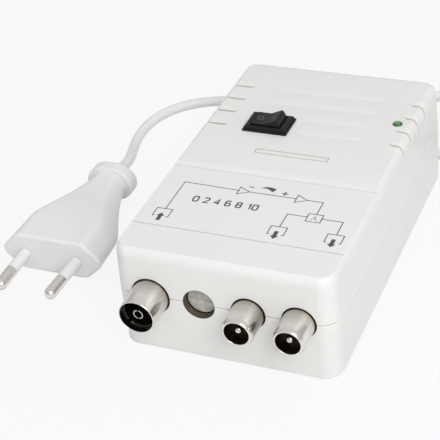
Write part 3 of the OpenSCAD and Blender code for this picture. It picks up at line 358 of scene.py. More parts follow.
# Nickel with a dark painted shade at the connectors' roots and a warm pale colour deep in their bores in place of
# the shade
metal(
    "nickel", (0.83, 0.8, 0.76), rough=0.2, stretch=AXIAL, grain_mm=0.3, depth_mm=0.0001, shade=0.08,
    hollow_shade=(0.2, 0.165, 0.125), deep=(0.8, 0.72, 0.62))
metal("contact_brass", (0.6, 0.56, 0.49), rough=0.3, stretch=AXIAL, grain_mm=0.3, depth_mm=0.0003)
moulded("black_insulator", (0.11, 0.09, 0.072), rough=0.5, shade=0.2, cloud_mm=5)
moulded("grey_plastic", (0.56, 0.545, 0.49), rough=0.5, grain_mm=0.5, depth_mm=0.03, shade=0.34, cloud_mm=1.6)
moulded("blue_plastic", (0.03, 0.06, 0.14), rough=0.3, grain_mm=0.4, shade=0.1, cloud_mm=8)
metal("tinned_sheet", (0.6, 0.6, 0.57), rough=0.36, stretch=ROLLED, grain_mm=0.4)
laminate("green_board", (0.02, 0.12, 0.045), track=(0.05, 0.2, 0.08), pitch_mm=4)
laminate("tan_board", (0.24, 0.15, 0.045), track=(0.3, 0.2, 0.08), pitch_mm=6)
layered(
    "core_iron", (0.16, 0.16, 0.165), (0.06, 0.06, 0.065),
    pitch_mm=0.5, direction="Y", rough=0.45, metallic=0.8)
moulded("bobbin_plastic", (0.68, 0.63, 0.52), rough=0.45)
layered(
    "copper_wire", (0.6, 0.24, 0.09), (0.22, 0.07, 0.03),
    pitch_mm=0.4, direction="Z", rough=0.3, metallic=0.9)
clear_glass("fuse_glass", (0.85, 0.88, 0.88))
moulded("brown_insulation", (0.16, 0.07, 0.03), rough=0.45)
moulded("red_insulation", (0.36, 0.02, 0.015), rough=0.45)
moulded("cord_sheath", (0.82, 0.82, 0.805), rough=0.4, grain_mm=0.5, depth_mm=0.003, shade=0.02, cloud_mm=30)
moulded("tie_plastic", (0.79, 0.79, 0.775), rough=0.38, grain_mm=0.4, depth_mm=0.008)
moulded("plug_plastic", (0.8, 0.8, 0.79), rough=0.4, grain_mm=0.35, depth_mm=0.008, shade=0.025)
# A darker copy of the connectors' metal: painted shade for the sleeve deep in the input's mouth
metal("shaded_sleeve", (0.32, 0.3, 0.27), rough=0.38, stretch=AXIAL, grain_mm=0.3, depth_mm=0.0003)
# The ring in the adjuster's hole is coloured with the same painted shade as its lip
moulded("hole_wall", HOLE_SHADE, rough=0.5, grain_mm=0.4, shade=0.2, cloud_mm=4)
moulded(
    "label_ink", (0.085, 0.088, 0.095), rough=0.55, grain_mm=0.2, depth_mm=0.002, shade=0.25, cloud_mm=1.2)
moulded("mark_paint", (0.13, 0.135, 0.175), rough=0.5, grain_mm=0.2, depth_mm=0.002, shade=0.2, cloud_mm=1)


# Soft edges and materials on the nodes of the frame

# Edges that count as grooves: most lean, most distance from the middle, least height and least angle
GROOVE_LEAN = 0.2
GROOVE_REACH_Y = 48
GROOVE_LOW_Z = 27
GROOVE_ANGLE = math.radians(2)
OWN_FINISH = {"input_sleeve": "shaded_sleeve"}
SOFT_EDGE_MM = {
    "top_cover": 0.16,
    "base_shell": 0.16,
    "switch_body": 0.12,
    "switch_rocker": 0.14,
    "input_shell": 0.16,
    "input_sleeve": 0.08,
    "input_contact": 0.06,
    "left_output_shell": 0.14,
    "right_output_shell": 0.14,
    "gain_knob": 0.15,
    "cord_gland": 0.25,
    "plug_pin_sleeves": 0.2,
    "plug_pins": 0.1,
}
EDGE_MM = 0.08
EDGE_ANGLE = math.radians(32)
FLAT_ANGLE = math.radians(0.4)
WELD_MM = 0.0005


def groove_edges(group):
    """Edges that run straight across the cover's top, between faces that lean apart."""
    ends = group.nodes.new("GeometryNodeInputMeshEdgeVertices")
    along = operate(
        group, "ShaderNodeVectorMath", "SUBTRACT", ends.outputs["Position 1"], ends.outputs["Position 2"])
    way = group.nodes.new("ShaderNodeSeparateXYZ")
    group.links.new(operate(group, "ShaderNodeVectorMath", "NORMALIZE", along), way.inputs[0])
    lean = operate(group, "ShaderNodeMath", "ABSOLUTE", way.outputs["Y"])
    place = group.nodes.new("ShaderNodeSeparateXYZ")
    group.links.new(ends.outputs["Position 1"], place.inputs[0])
    off_middle = operate(group, "ShaderNodeMath", "ABSOLUTE", place.outputs["Y"])
    angle = group.nodes.new("GeometryNodeInputMeshEdgeAngle")
    tests = [
        operate(group, "ShaderNodeMath", "LESS_THAN", lean, GROOVE_LEAN),
        operate(group, "ShaderNodeMath", "LESS_THAN", off_middle, GROOVE_REACH_Y * MM),
        operate(group, "ShaderNodeMath", "GREATER_THAN", place.outputs["Z"], GROOVE_LOW_Z * MM),
        operate(group, "ShaderNodeMath", "GREATER_THAN", angle.outputs["Unsigned Angle"], GROOVE_ANGLE),
    ]
    share = tests[0]
    for test in tests[1:]:
        share = operate(group, "ShaderNodeMath", "MULTIPLY", share, test)
    return share


def even_shading(name, crisp):
    """Node group that drops the imported normals and shades smooth, but for the grooves if they are crisp."""
    group = bpy.data.node_groups.new(name, "GeometryNodeTree")
    group.interface.new_socket("Geometry", in_out="INPUT", socket_type="NodeSocketGeometry")
    group.interface.new_socket("Geometry", in_out="OUTPUT", socket_type="NodeSocketGeometry")
    start = group.nodes.new("NodeGroupInput")
    end = group.nodes.new("NodeGroupOutput")
    faces = group.nodes.new("GeometryNodeSetMeshNormal")
    faces.mode = "SHARPNESS"
    group.links.new(start.outputs[0], faces.inputs["Mesh"])
    result = faces.outputs["Mesh"]
    if crisp:
        split = group.nodes.new("GeometryNodeSetShadeSmooth")
        split.domain = "EDGE"
        split.inputs["Shade Smooth"].default_value = False
        group.links.new(result, split.inputs[0])
        group.links.new(groove_edges(group), split.inputs["Selection"])
        result = split.outputs[0]
    group.links.new(result, end.inputs[0])
    return group


def weigh_normals(thing):
    """Shades by the larger faces, so that soft edges leave flat faces flat."""
    normals = thing.modifiers.new("normals", "WEIGHTED_NORMAL")
    normals.weight = 80
    normals.keep_sharp = True


def soften(node, shading_group, edge_mm):
    weld = node.modifiers.new("weld", "WELD")
    weld.merge_threshold = WELD_MM * MM
    flat = node.modifiers.new("flat", "DECIMATE")
    flat.decimate_type = "DISSOLVE"
    flat.angle_limit = FLAT_ANGLE
    shading = node.modifiers.new("shading", "NODES")
    shading.node_group = shading_group
    edge = node.modifiers.new("edge", "BEVEL")
    edge.width = edge_mm * MM
    edge.segments = 3
    edge.limit_method = "ANGLE"
    edge.angle_limit = EDGE_ANGLE
    edge.use_clamp_overlap = True
    weigh_normals(node)


plain_shading = even_shading("even_shading", False)
cover_shading = even_shading("cover_shading", True)
for part in frame["record"]["subparts"]:
    name = part["node"]
    node = nodes[name]
    node.data.materials.clear()
    node.data.materials.append(finishes[OWN_FINISH.get(name, part["material_slot"])])
    soften(node, cover_shading if name == "top_cover" else plain_shading, SOFT_EDGE_MM.get(name, EDGE_MM))


# New pieces from meshes

def add_piece(name, data, finish):
    """Puts a mesh or a curve into the scene with one finish."""
    data.materials.append(finishes[finish])
    piece = bpy.data.objects.new(name, data)
    scene.collection.objects.link(piece)
    return piece


def add_mesh(name, work, finish):
    """Turns a finished working mesh into a piece."""
    bmesh.ops.recalc_face_normals(work, faces=work.faces)
    mesh = bpy.data.meshes.new(name)
    work.to_mesh(mesh)
    work.free()
    return add_piece(name, mesh, finish)


def skin(rings, closed, crisp=()):
    """A smooth skin over rings of points in millimetres, a loop or a capped tube, with some rings crisp."""
    work = bmesh.new()
    loops = [[work.verts.new(point * MM) for point in ring] for ring in rings]
    count = len(loops[0])
    nexts = loops[1:] + loops[:1] if closed else loops[1:]
    for first, second in zip(loops, nexts):
        for k in range(count):
            after = (k + 1) % count
            work.faces.new((first[k], second[k], second[after], first[after]))
    if not closed:
        work.faces.new(loops[0])
        work.faces.new(loops[-1])
    for face in work.faces:
        face.smooth = True
    for i in crisp:
        for first, second in zip(loops[i], loops[i][1:] + loops[i][:1]):
            work.edges.get((first, second)).smooth = False
    return work


# Tie round the coil

TIE_LOW, TIE_HIGH = box_mm("cord_tie")
TIE_T = 0.5
TIE_ROUND = 1.55
TIE_CORNER_STEPS = 8
# Half of the band's section, from its hollow middle to its inner side, as shares of its width and thickness
TIE_HALF_SECTION = [
    (0, 0.3), (0.3, 0.36), (0.38, 0.5), (0.45, 0.46), (0.49, 0.3), (0.5, 0), (0.48, -0.36), (0.42, -0.5),
]


def tie_path():
    """Places and outward directions along a rounded rectangle in the upright plane across the coil."""
    inset = TIE_T / 2 + TIE_ROUND
    reach_x = (TIE_HIGH.x - TIE_LOW.x) / 2 - inset
    reach_z = (TIE_HIGH.z - TIE_LOW.z) / 2 - inset
    path = []
    for corner, (side_x, side_z) in enumerate(((1, 1), (-1, 1), (-1, -1), (1, -1))):
        for k in range(TIE_CORNER_STEPS + 1):
            angle = math.pi / 2 * (corner + k / TIE_CORNER_STEPS)
            way = Vector((math.cos(angle), 0, math.sin(angle)))
            path.append((Vector((side_x * reach_x, 0, side_z * reach_z)) + TIE_ROUND * way, way))
    return path


def make_tie():
    """A flat band with rounded edges and a shallow hollow down its middle."""
    middle = middle_mm("cord_tie")
    width = TIE_HIGH.y - TIE_LOW.y
    section = TIE_HALF_SECTION + [(-across, out) for across, out in reversed(TIE_HALF_SECTION[1:])]
    rings = []
    for place, way in tie_path():
        rings.append([
            middle + place + TIE_T * out * way + Vector((0, width * across, 0)) for across, out in section])
    return add_mesh("tie_band", skin(rings, closed=True), "tie_plastic")


# Plug

PLUG_LOW, PLUG_HIGH = box_mm("plug_body")
PLUG_MIDDLE = middle_mm("plug_body")
PLUG_W = PLUG_HIGH.x - PLUG_LOW.x
PLUG_T = PLUG_HIGH.z - PLUG_LOW.z
COLLAR_L = 5
ROOT_L = 6
PLUG_L = PLUG_HIGH.y - PLUG_LOW.y - COLLAR_L - ROOT_L
PLUG_STATIONS = 22
ROUND_STEPS = 4
CORNER_STEPS = 5
CORNER_SHARE = 0.45
# Shares of the length: where the sides draw in and how softly, and where the top and bottom slope
FLARE = 0.3
SHOULDER = 0.08
SLOPE_START = 0.2
SLOPE_LENGTH = 0.75
# How far the sides lean in before they draw in, and how hollow they get after it
SIDE_LEAN = 0.06
SIDE_HOLLOW = 1.4
# Width of the bevelled long edges at the face and the neck, half the height between them and their rounding
FACE_BEVEL = 5.8
NECK_BEVEL = 2.8
PLUG_SIDE = 1.2
PLUG_SOFT = 1.8
FRONT_ROUND = 1
NECK_W = 12.6
NECK_T = 9.6
# Collar behind the neck, with half its flat top, half the height of its sides and its roundings
COLLAR_W = 17
COLLAR_T = 12.4
COLLAR_FLAT = 4.6
COLLAR_SIDE = 2.2
COLLAR_SOFT = 3
COLLAR_ROUND = 0.9
# Distance behind the collar and radius of the cone round the lead
ROOT_PROFILE = [(0, 3.4), (0.4, 3.3), (2.4, 2.85), (4.6, 2.4), (5.5, 2.25), (ROOT_L, 1.85)]


def eased(t):
    t = min(max(t, 0), 1)
    return t * t * (3 - 2 * t)


def plug_half(s):
    """Half the plug's width at a share of its length: straight, then drawn in to the neck in a hollow."""
    past = max(0, (s - FLARE) / (1 - FLARE))
    draw = (math.hypot(past, SHOULDER) - SHOULDER) / (math.hypot(1, SHOULDER) - SHOULDER)
    lean = 1 - SIDE_LEAN * min(1, s / FLARE)
    return NECK_W / 2 + (PLUG_W - NECK_W) / 2 * lean * (1 - draw) ** SIDE_HOLLOW


def eight_sided(half_w, half_t, flat, side, soft):
    """An outline with eight rounded corners: flat above and below, upright at the sides, bevelled between."""
    corners = [Vector(p) for p in (
        (half_w, -side), (half_w, side), (flat, half_t), (-flat, half_t),
        (-half_w, side), (-half_w, -side), (-flat, -half_t), (flat, -half_t))]
    outline = []
    for i, corner in enumerate(corners):
        sides = [corners[i - 1] - corner, corners[(i + 1) % len(corners)] - corner]
        before, after = [
            corner + min(soft, CORNER_SHARE * edge.length) * edge.normalized() for edge in sides]
        for k in range(CORNER_STEPS + 1):
            t = k / CORNER_STEPS
            outline.append(before * (1 - t) ** 2 + corner * 2 * t * (1 - t) + after * t ** 2)
    return outline


def drawn_in(outline, inset):
    """The outline with its sides moved inwards."""
    half_w = max(p.x for p in outline)
    half_t = max(p.y for p in outline)
    return [Vector((p.x * (1 - inset / half_w), p.y * (1 - inset / half_t))) for p in outline]


def plug_outline(s):
    half_w = plug_half(s)
    half_t = PLUG_T / 2 - (PLUG_T - NECK_T) / 2 * eased((s - SLOPE_START) / SLOPE_LENGTH)
    bevel = FACE_BEVEL + (NECK_BEVEL - FACE_BEVEL) * s
    return eight_sided(half_w, half_t, half_w - bevel, PLUG_SIDE, PLUG_SOFT)


def rounded_edge(along, outline, radius, way):
    """Rings of a rounded edge, from the flat face at one place to the sides; the first is crisp."""
    rings = []
    for k in range(ROUND_STEPS + 1):
        angle = math.pi / 2 * k / ROUND_STEPS
        inset = radius * (1 - math.sin(angle))
        rings.append((along + way * radius * (1 - math.cos(angle)), drawn_in(outline, inset), k == 0))
    return rings


def plug_rings():
    """Distance behind the face, outline and whether its edge is crisp, from the face to the lead."""
    rings = rounded_edge(0, plug_outline(0), FRONT_ROUND, 1)
    for i in range(1, PLUG_STATIONS + 1):
        s = i / PLUG_STATIONS
        rings.append((PLUG_L * s, plug_outline(s), i == PLUG_STATIONS))
    collar = eight_sided(COLLAR_W / 2, COLLAR_T / 2, COLLAR_FLAT, COLLAR_SIDE, COLLAR_SOFT)
    collar_end = PLUG_L + COLLAR_L
    rings += rounded_edge(PLUG_L, collar, COLLAR_ROUND, 1)
    rings += reversed(rounded_edge(collar_end, collar, COLLAR_ROUND, -1))
    for along, radius in ROOT_PROFILE:
        rings.append((collar_end + along, [radius * p.normalized() for p in collar], along in (0, ROOT_L)))
    return rings


def make_plug():
    """The plug's moulded body: a flared grip, a proud collar and a short cone round the lead."""
    rings = []
    crisp = []
    for i, (along, outline, sharp) in enumerate(plug_rings()):
        middle = Vector((PLUG_MIDDLE.x, PLUG_LOW.y + along, PLUG_MIDDLE.z))
        rings.append([middle + Vector((p.x, 0, p.y)) for p in outline])
        if sharp:
            crisp.append(i)
    grip = add_mesh("plug_grip", skin(rings, closed=False, crisp=crisp), "plug_plastic")
    weigh_normals(grip)
    return grip


# Mains lead

CORD_R = 1.8
COIL_MIDDLE = (57, 91)
COIL_START = 150
COIL_END = 270
COIL_ROUNDS = 7
COIL_TURNS = COIL_ROUNDS - (COIL_END - COIL_START) / 360
CROSSING_TURNS = 0.5
COIL_IN_R = 14.4
TURN_STEP = 4.1
LOW_Z = 2.6
HIGH_Z = LOW_Z + TURN_STEP
RINGS = 24
CURVE_STEPS = 6
GLAND_TIP = (20, 78.5, 11)
PLUG_ROOT = (PLUG_MIDDLE.x, PLUG_HIGH.y, PLUG_MIDDLE.z)
# Given routes from the gland to the coil and from the coil to the plug
GLAND_ROUTE = [
    (20, 81.5, 10.7), (20.4, 85, 9.8), (21.9, 88.6, 8.7),
    (24, 92.2, 7.7), (26.3, 96, 7), (28.4, 99.4, 6.7),
]
PLUG_ROUTE = [
    (43, 63.1, 2.1), (34, 63.1, 1.9), (25, 63.7, 1.8), (15, 65.3, 1.8), (5, 67.7, 1.8), (-5, 70.7, 1.8),
    (-15, 74, 1.8), (-25, 77.2, 1.8), (-35, 79.8, 1.8), (-45, 81.3, 1.8), (-54, 81, 1.8), (-62, 78.7, 1.8),
    (-69, 74.4, 1.8), (-74.2, 68.5, 1.8), (-77.2, 61.4, 1.8), (-78, 53.6, 1.9), (-77, 45.6, 2.3),
    (-74.6, 37.6, 3.4), (-71.9, 29.8, 5.2),
]


def coil_point(turn):
    """A place on the coil, which winds in through its upper layer and out through its lower one."""
    angle = math.radians(COIL_START - 360 * turn)
    from_middle = turn - COIL_TURNS / 2
    radius = COIL_IN_R + TURN_STEP * abs(from_middle)
    drop = min(max(2 * from_middle / CROSSING_TURNS, -1), 1)
    z = (HIGH_Z + LOW_Z) / 2 - TURN_STEP / 2 * math.sin(math.pi / 2 * drop)
    return Vector((
        COIL_MIDDLE[0] + radius * math.cos(angle),
        COIL_MIDDLE[1] + radius * math.sin(angle),
        z,
    ))


def lead_points():
    count = math.ceil(COIL_TURNS * RINGS)
    coil = [coil_point(COIL_TURNS * i / count) for i in range(count + 1)]
    way_in = (coil[1] - coil[0]).normalized()
    way_out = (coil[-1] - coil[-2]).normalized()
    points = [Vector(GLAND_TIP)]
    points += [Vector(p) for p in GLAND_ROUTE]
    points += [coil[0] - 2 * CORD_R * way_in]
    points += coil
    points += [coil[-1] + 2 * CORD_R * way_out]
    points += [Vector(p) for p in PLUG_ROUTE]
    points += [Vector(PLUG_ROOT)]
    return points


def smooth_path(points, steps):
    """A path that passes through the points in one smooth curve."""
    first = 2 * points[0] - points[1]
    last = 2 * points[-1] - points[-2]
    knots = [first] + points + [last]
    path = []
    for i in range(1, len(knots) - 2):
        before, start, end, after = knots[i - 1:i + 3]
        for k in range(steps):
            t = k / steps
            path.append(0.5 * (
                2 * start
                + (end - before) * t
                + (2 * before - 5 * start + 4 * end - after) * t ** 2
                + (3 * start - before - 3 * end + after) * t ** 3
            ))
    path.append(points[-1])
    return path


def make_lead():
    """The lead as one round tube, with its length in metres."""
    path = smooth_path(lead_points(), CURVE_STEPS)
    data = bpy.data.curves.new("mains_lead", "CURVE")
    data.dimensions = "3D"
    data.bevel_depth = CORD_R * MM
    data.bevel_resolution = 8
    data.use_fill_caps = True
    spline = data.splines.new("POLY")
    spline.points.add(len(path) - 1)
    for point, place in zip(spline.points, path):
        point.co = (*(place * MM), 1)
    spline.use_smooth = True
    length = sum((b - a).length for a, b in zip(path, path[1:])) * MM
    return add_piece("mains_lead", data, "cord_sheath"), length


tie = make_tie()
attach(tie, "housing")
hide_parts("cord_tie")
plug = make_plug()
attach(plug, "housing")
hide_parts("plug_body")
lead, lead_length = make_lead()
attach(lead, "housing")
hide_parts("gland_cord", "cord_coil", "plug_cord")


# Wall of the adjuster's hole

HOLE_R = 4.9
HOLE_WALL_T = 0.6
HOLE_WALL_SOFT = 0.1
HOLE_WALL_SETBACK = 0.75
HOLE_REAR_R = 4.55
HOLE_REAR_L = 0.5
HOLE_REAR_GAP = 0.15
HOLE_SIDES = 96


def make_hole_wall():
    """A short ring that carries the hole's wall on from its lip and closes in round the adjuster's face."""
    front = FRONT_Y + HOLE_WALL_SETBACK
    rear = box_mm("gain_knob")[0].y - HOLE_REAR_GAP
    outer = HOLE_R + HOLE_WALL_T
    soft = HOLE_WALL_SOFT
    section = [
        (HOLE_R, front + soft), (HOLE_R + soft, front), (outer - soft, front), (outer, front + soft),
        (outer, rear - soft), (outer - soft, rear), (HOLE_REAR_R + soft, rear), (HOLE_REAR_R, rear - soft),
        (HOLE_R, rear - HOLE_REAR_L),
    ]
    rings = []
    for i in range(HOLE_SIDES):
        angle = 2 * math.pi * i / HOLE_SIDES
        rings.append([
            Vector((GAIN_AXIS.x + radius * math.cos(angle), y, GAIN_AXIS.z + radius * math.sin(angle)))
            for radius, y in section
        ])
    # The ring's finish is a dark painted shade
    ring = add_mesh("hole_wall", skin(rings, closed=True), "hole_wall")
    weigh_normals(ring)
    return ring


hole_wall = make_hole_wall()
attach(hole_wall, "housing")


# Print

JOIN_MM = 0.001
LEAST_MITRE = 0.5


def stroke(points, width):
    """Quads of an even line through flat points, mitred at its corners."""
    flat = [Vector(p) for p in points]
    closed = (flat[0] - flat[-1]).length < JOIN_MM
    if closed:
        flat = flat[:-1]
    count = len(flat)
    sides = []
    for i, point in enumerate(flat):
        ways = []
        if closed or i > 0:
            ways.append((point - flat[i - 1]).normalized())
        if closed or i < count - 1:
            ways.append((flat[(i + 1) % count] - point).normalized())
        normals = [Vector((-w.y, w.x)) for w in ways]
        mitre = sum(normals, Vector((0, 0))).normalized()
        reach = width / 2 / max(mitre.dot(normals[0]), LEAST_MITRE)
        sides.append((point + reach * mitre, point - reach * mitre))
    if closed:
        sides.append(sides[0])
    return [[a[0], a[1], b[1], b[0]] for a, b in zip(sides, sides[1:])]


def inked(name, polygons, finish, to_world, thickness):
    """Thin printed shapes: flat polygons, joined where they share corners and made solid."""
    work = bmesh.new()
    for polygon in polygons:
        work.faces.new([work.verts.new((p[0], p[1], 0)) for p in polygon])
    bmesh.ops.remove_doubles(work, verts=work.verts, dist=JOIN_MM)
    raised = bmesh.ops.extrude_face_region(work, geom=work.faces[:], use_keep_orig=True)
    for item in raised["geom"]:
        if isinstance(item, bmesh.types.BMVert):
            item.co.z = thickness
    piece = add_mesh(name, work, finish)
    piece.data.transform(Matrix.Scale(MM, 4) @ to_world)
    return piece


# Diagram on the label

INK_T = 0.015
LINE_W = 0.29
FINE_LINE_W = 0.22
BOLD_LINE_W = 0.4
DIGIT_LINE_W = 0.5
DIGIT_H = 2.5
DIGIT_STEP = 1.72
SIGN_W = 4.9
SIGN_H = 3.9
SIGN_FOOT = 0.7
ARROW_START = 2.2
ARROW_END = 6
ARROW_HEAD_L = 1.5
ARROW_HEAD_HALF = 1.3
ARROW_SHAFT_HALF = 0.62
AMPLIFIER_L = 3.5
AMPLIFIER_HALF = 1.9
# Lines of each digit as shares of its height
DIGITS = {
    "0": [[(0.1, 0), (0.5, 0), (0.6, 0.15), (0.6, 0.85), (0.5, 1), (0.1, 1), (0, 0.85), (0, 0.15), (0.1, 0)]],
    "1": [[(0.1, 0.8), (0.35, 1), (0.35, 0)]],
    "2": [[(0, 0.82), (0.12, 1), (0.48, 1), (0.6, 0.85), (0.6, 0.62), (0, 0), (0.62, 0)]],
    "4": [[(0.46, 0), (0.46, 1), (0, 0.28), (0.64, 0.28)]],
    "6": [[(0.56, 0.88), (0.46, 1), (0.14, 1), (0, 0.8), (0, 0.16), (0.12, 0), (0.48, 0), (0.6, 0.16),
           (0.6, 0.4), (0.48, 0.56), (0, 0.5)]],
    "8": [[(0.14, 0.54), (0, 0.68), (0, 0.86), (0.12, 1), (0.48, 1), (0.6, 0.86), (0.6, 0.68), (0.46, 0.54),
           (0.14, 0.54)],
          [(0.14, 0.54), (0, 0.38), (0, 0.14), (0.12, 0), (0.48, 0), (0.6, 0.14), (0.6, 0.38), (0.46, 0.54)]],
}


def socket_sign(x, top, arrow_in):
    """A bracket open to the front with short feet, and a solid arrow through it."""
    half = SIGN_W / 2
    foot = top - SIGN_H
    shapes = stroke([
        (x - half + SIGN_FOOT, foot), (x - half, foot), (x - half, top),
        (x + half, top), (x + half, foot), (x + half - SIGN_FOOT, foot)], LINE_W)
    upper = top - ARROW_START
    lower = top - ARROW_END
    tip = upper if arrow_in else lower
    tail = lower if arrow_in else upper
    neck = upper - ARROW_HEAD_L if arrow_in else lower + ARROW_HEAD_L
    shapes.append([
        (x - ARROW_SHAFT_HALF, tail), (x + ARROW_SHAFT_HALF, tail), (x + ARROW_SHAFT_HALF, neck),
        (x + ARROW_HEAD_HALF, neck), (x, tip), (x - ARROW_HEAD_HALF, neck), (x - ARROW_SHAFT_HALF, neck)])
    return shapes


def amplifier_sign(x, y):
    """A triangle that points to the right."""
    rear = y + AMPLIFIER_HALF
    front = y - AMPLIFIER_HALF
    return stroke([(x, rear), (x + AMPLIFIER_L, y), (x, front), (x, rear)], LINE_W)


def gain_wedge():
    """A curved wedge that grows from left to right, cut off square at its thick end."""
    upper = [(-1.6, -17.5), (-0.8, -16.9), (0.1, -16.5), (1.2, -16.4), (2.4, -16.6), (3.5, -17.1)]
    lower = [(-1.6, -17.5), (-0.5, -17.3), (0.6, -17.4), (1.6, -17.9), (2.1, -18.3), (2.5, -18.8)]
    sides = list(zip(upper, lower))
    return [[a[0], a[1], b[1], b[0]] for a, b in zip(sides[1:], sides[2:])] + [[upper[0], lower[1], upper[1]]]


def numbers(text, x, y):
    shapes = []
    for i, digit in enumerate(text):
        for line in DIGITS.get(digit, []):
            places = [(x + i * DIGIT_STEP + DIGIT_H * px, y + DIGIT_H * py) for px, py in line]
            shapes += stroke(places, DIGIT_LINE_W)
    return shapes


def label_shapes():
    """One line from the input through two amplifiers to a splitter, and two branches to the outputs."""
    through_y = -20.2
    branch_y = -28.2
    first_amplifier = -7.6
    second_amplifier = 10.7
    splitter_x = 19.1
    left = 16.9
    right = 21.3
    front = -30.2
    rear = -26.4
    fork_y = -28.3
    input_line_x = -25.3
    input_socket = (-25.4, -34.5)
    left_output = (10.8, -34.8)
    right_output = (27.8, -34.5)
    shapes = socket_sign(*input_socket, arrow_in=True)
    shapes += socket_sign(*left_output, arrow_in=False)
    shapes += socket_sign(*right_output, arrow_in=False)
    shapes += stroke([
        (input_line_x, input_socket[1]), (input_line_x, -19.8), (first_amplifier, through_y)], LINE_W)
    shapes += amplifier_sign(first_amplifier, through_y)
    shapes += stroke([(first_amplifier + AMPLIFIER_L, through_y), (second_amplifier, through_y)], LINE_W)
    shapes += amplifier_sign(second_amplifier, through_y)
    shapes += stroke([
        (second_amplifier + AMPLIFIER_L, through_y), (splitter_x, through_y), (splitter_x, rear)], LINE_W)
    shapes += stroke([(left, rear), (right, rear), (right, front), (left, front), (left, rear)], LINE_W)
    shapes += stroke([(splitter_x, -27.2), (splitter_x, fork_y), (splitter_x - 1, fork_y - 1)], FINE_LINE_W)
    shapes += stroke([(splitter_x, fork_y), (splitter_x + 1, fork_y - 1)], FINE_LINE_W)
    shapes += stroke([(left, branch_y), (left_output[0], branch_y), left_output], LINE_W)
    shapes += stroke([(right, branch_y), (right_output[0], branch_y), right_output], LINE_W)
    shapes += gain_wedge()
    shapes += stroke([(-5.2, -17.6), (-3.6, -17.6)], BOLD_LINE_W)
    shapes += stroke([(5.6, -18.6), (7.6, -18.6)], BOLD_LINE_W)
    shapes += stroke([(6.6, -17.6), (6.6, -19.6)], BOLD_LINE_W)
    shapes += numbers("0 2 4 6 8 10", x=-19.2, y=-28.7)
    return shapes


on_film = Matrix.Translation((0, 0, FILM_TOP))
label_print = inked("label_print", label_shapes(), "label_ink", on_film, INK_T)
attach(label_print, "housing")


# Marks on the rocker

ROCKER_REST = -math.radians(joints["rocker_tilt"]["range_deg"][1] / 2)
# Height of the rocker's valley over its axis, and distance and height of its peaks
VALLEY_Z = 1.6
PEAK_X = 4.2
PEAK_Z = 2.524
MARK_X = 2.3
RING_HALF_W = 0.85
RING_HALF_L = 1.25 * RING_HALF_W
RING_LINE_W = 0.24
RING_SIDES = 28
BAR_HALF_L = 1.2
BAR_LINE_W = 0.3
MARK_T = 0.01
MARK_LIFT = 0.005


def rocker_plane(side):
    """From flat print on one half of the rocker to its place at rest."""
    slope = math.atan2(PEAK_Z - VALLEY_Z, PEAK_X)
    local = Matrix.Translation((0, 0, VALLEY_Z + MARK_LIFT)) @ Matrix.Rotation(-side * slope, 4, "Y")
    return Matrix.Translation(joint_mm("rocker_tilt")) @ Matrix.Rotation(ROCKER_REST, 4, "Y") @ local


def oval():
    """Points round the ring's line, from its right side back to it."""
    turns = [2 * math.pi * i / RING_SIDES for i in range(RING_SIDES + 1)]
    return [(RING_HALF_W * math.cos(turn) - MARK_X, RING_HALF_L * math.sin(turn)) for turn in turns]


for mark, side, lines in (
    ("rocker_ring", -1, stroke(oval(), RING_LINE_W)),
    ("rocker_bar", 1, stroke([(MARK_X, -BAR_HALF_L), (MARK_X, BAR_HALF_L)], BAR_LINE_W)),
):
    piece = inked(mark, lines, "mark_paint", rocker_plane(side), MARK_T)
    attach(piece, "rocker")


# Floor and light

FLOOR_REACH = 2.5
FLOOR_Z = -0.02
FLOOR_GREY = 0.68
FLOOR_GLOW_SHARE = 0.86
LAMP_AIM = (0, 0, 0.02)
SKY_STRENGTH = 0.72
HORIZON_GREY = 0.6
ZENITH_FROM = 0.8


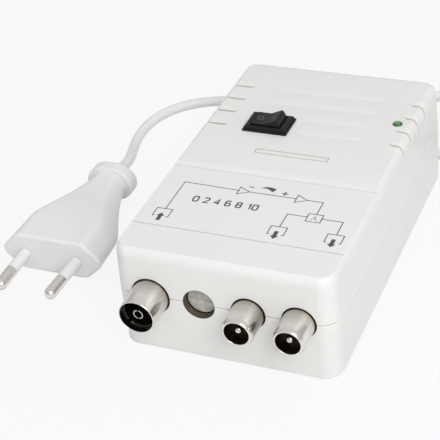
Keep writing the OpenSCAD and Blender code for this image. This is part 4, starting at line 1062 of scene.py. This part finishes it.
def make_floor():
    """A pale floor that keeps the shadow and looks nearly white to the camera and in reflections."""
    mesh = bpy.data.meshes.new("floor")
    signs = ((-1, -1), (1, -1), (1, 1), (-1, 1))
    corners = [(x * FLOOR_REACH, y * FLOOR_REACH, FLOOR_Z * MM) for x, y in signs]
    mesh.from_pydata(corners, [], [(0, 1, 2, 3)])
    material = bpy.data.materials.new("floor")
    material.use_nodes = True
    tree = material.node_tree
    tree.nodes.clear()
    output = tree.nodes.new("ShaderNodeOutputMaterial")
    matt = tree.nodes.new("ShaderNodeBsdfDiffuse")
    matt.inputs["Color"].default_value = (FLOOR_GREY, FLOOR_GREY, FLOOR_GREY, 1)
    glow = tree.nodes.new("ShaderNodeEmission")
    glow.inputs["Strength"].default_value = 1
    ray = tree.nodes.new("ShaderNodeLightPath").outputs
    seen = operate(tree, "ShaderNodeMath", "MAXIMUM", ray["Is Camera Ray"], ray["Is Glossy Ray"])
    seen = operate(tree, "ShaderNodeMath", "MAXIMUM", seen, ray["Is Transmission Ray"])
    mix = tree.nodes.new("ShaderNodeMixShader")
    tree.links.new(operate(tree, "ShaderNodeMath", "MULTIPLY", seen, FLOOR_GLOW_SHARE), mix.inputs["Fac"])
    tree.links.new(matt.outputs["BSDF"], mix.inputs[1])
    tree.links.new(glow.outputs["Emission"], mix.inputs[2])
    tree.links.new(mix.outputs["Shader"], output.inputs["Surface"])
    mesh.materials.append(material)
    floor = bpy.data.objects.new("floor", mesh)
    scene.collection.objects.link(floor)


def make_lamp(name, place, size, power):
    data = bpy.data.lights.new(name, "AREA")
    data.shape = "RECTANGLE"
    data.size, data.size_y = size
    data.energy = power
    lamp = bpy.data.objects.new(name, data)
    away = Vector(place) - Vector(LAMP_AIM)
    lamp.matrix_world = Matrix.Translation(place) @ away.to_track_quat("Z", "Y").to_matrix().to_4x4()
    scene.collection.objects.link(lamp)


def make_world():
    """A soft sky that is white overhead and grey at the horizon."""
    world = bpy.data.worlds.new("studio")
    scene.world = world
    world.use_nodes = True
    tree = world.node_tree
    sky = tree.nodes["Background"]
    place = tree.nodes.new("ShaderNodeTexCoord")
    parts = tree.nodes.new("ShaderNodeSeparateXYZ")
    tree.links.new(place.outputs["Generated"], parts.inputs["Vector"])
    ramp = tree.nodes.new("ShaderNodeValToRGB")
    horizon, zenith = ramp.color_ramp.elements
    horizon.position = 0
    horizon.color = (HORIZON_GREY, HORIZON_GREY, HORIZON_GREY, 1)
    zenith.position = ZENITH_FROM
    zenith.color = (1, 1, 1, 1)
    tree.links.new(parts.outputs["Z"], ramp.inputs["Fac"])
    tree.links.new(ramp.outputs["Color"], sky.inputs["Color"])
    sky.inputs["Strength"].default_value = SKY_STRENGTH


make_floor()
make_world()
make_lamp("key", place=(0.5, -0.56, 0.66), size=(0.5, 0.5), power=5.3)
make_lamp("strip", place=(0.4, -0.82, 0.26), size=(1.2, 0.05), power=0.5)
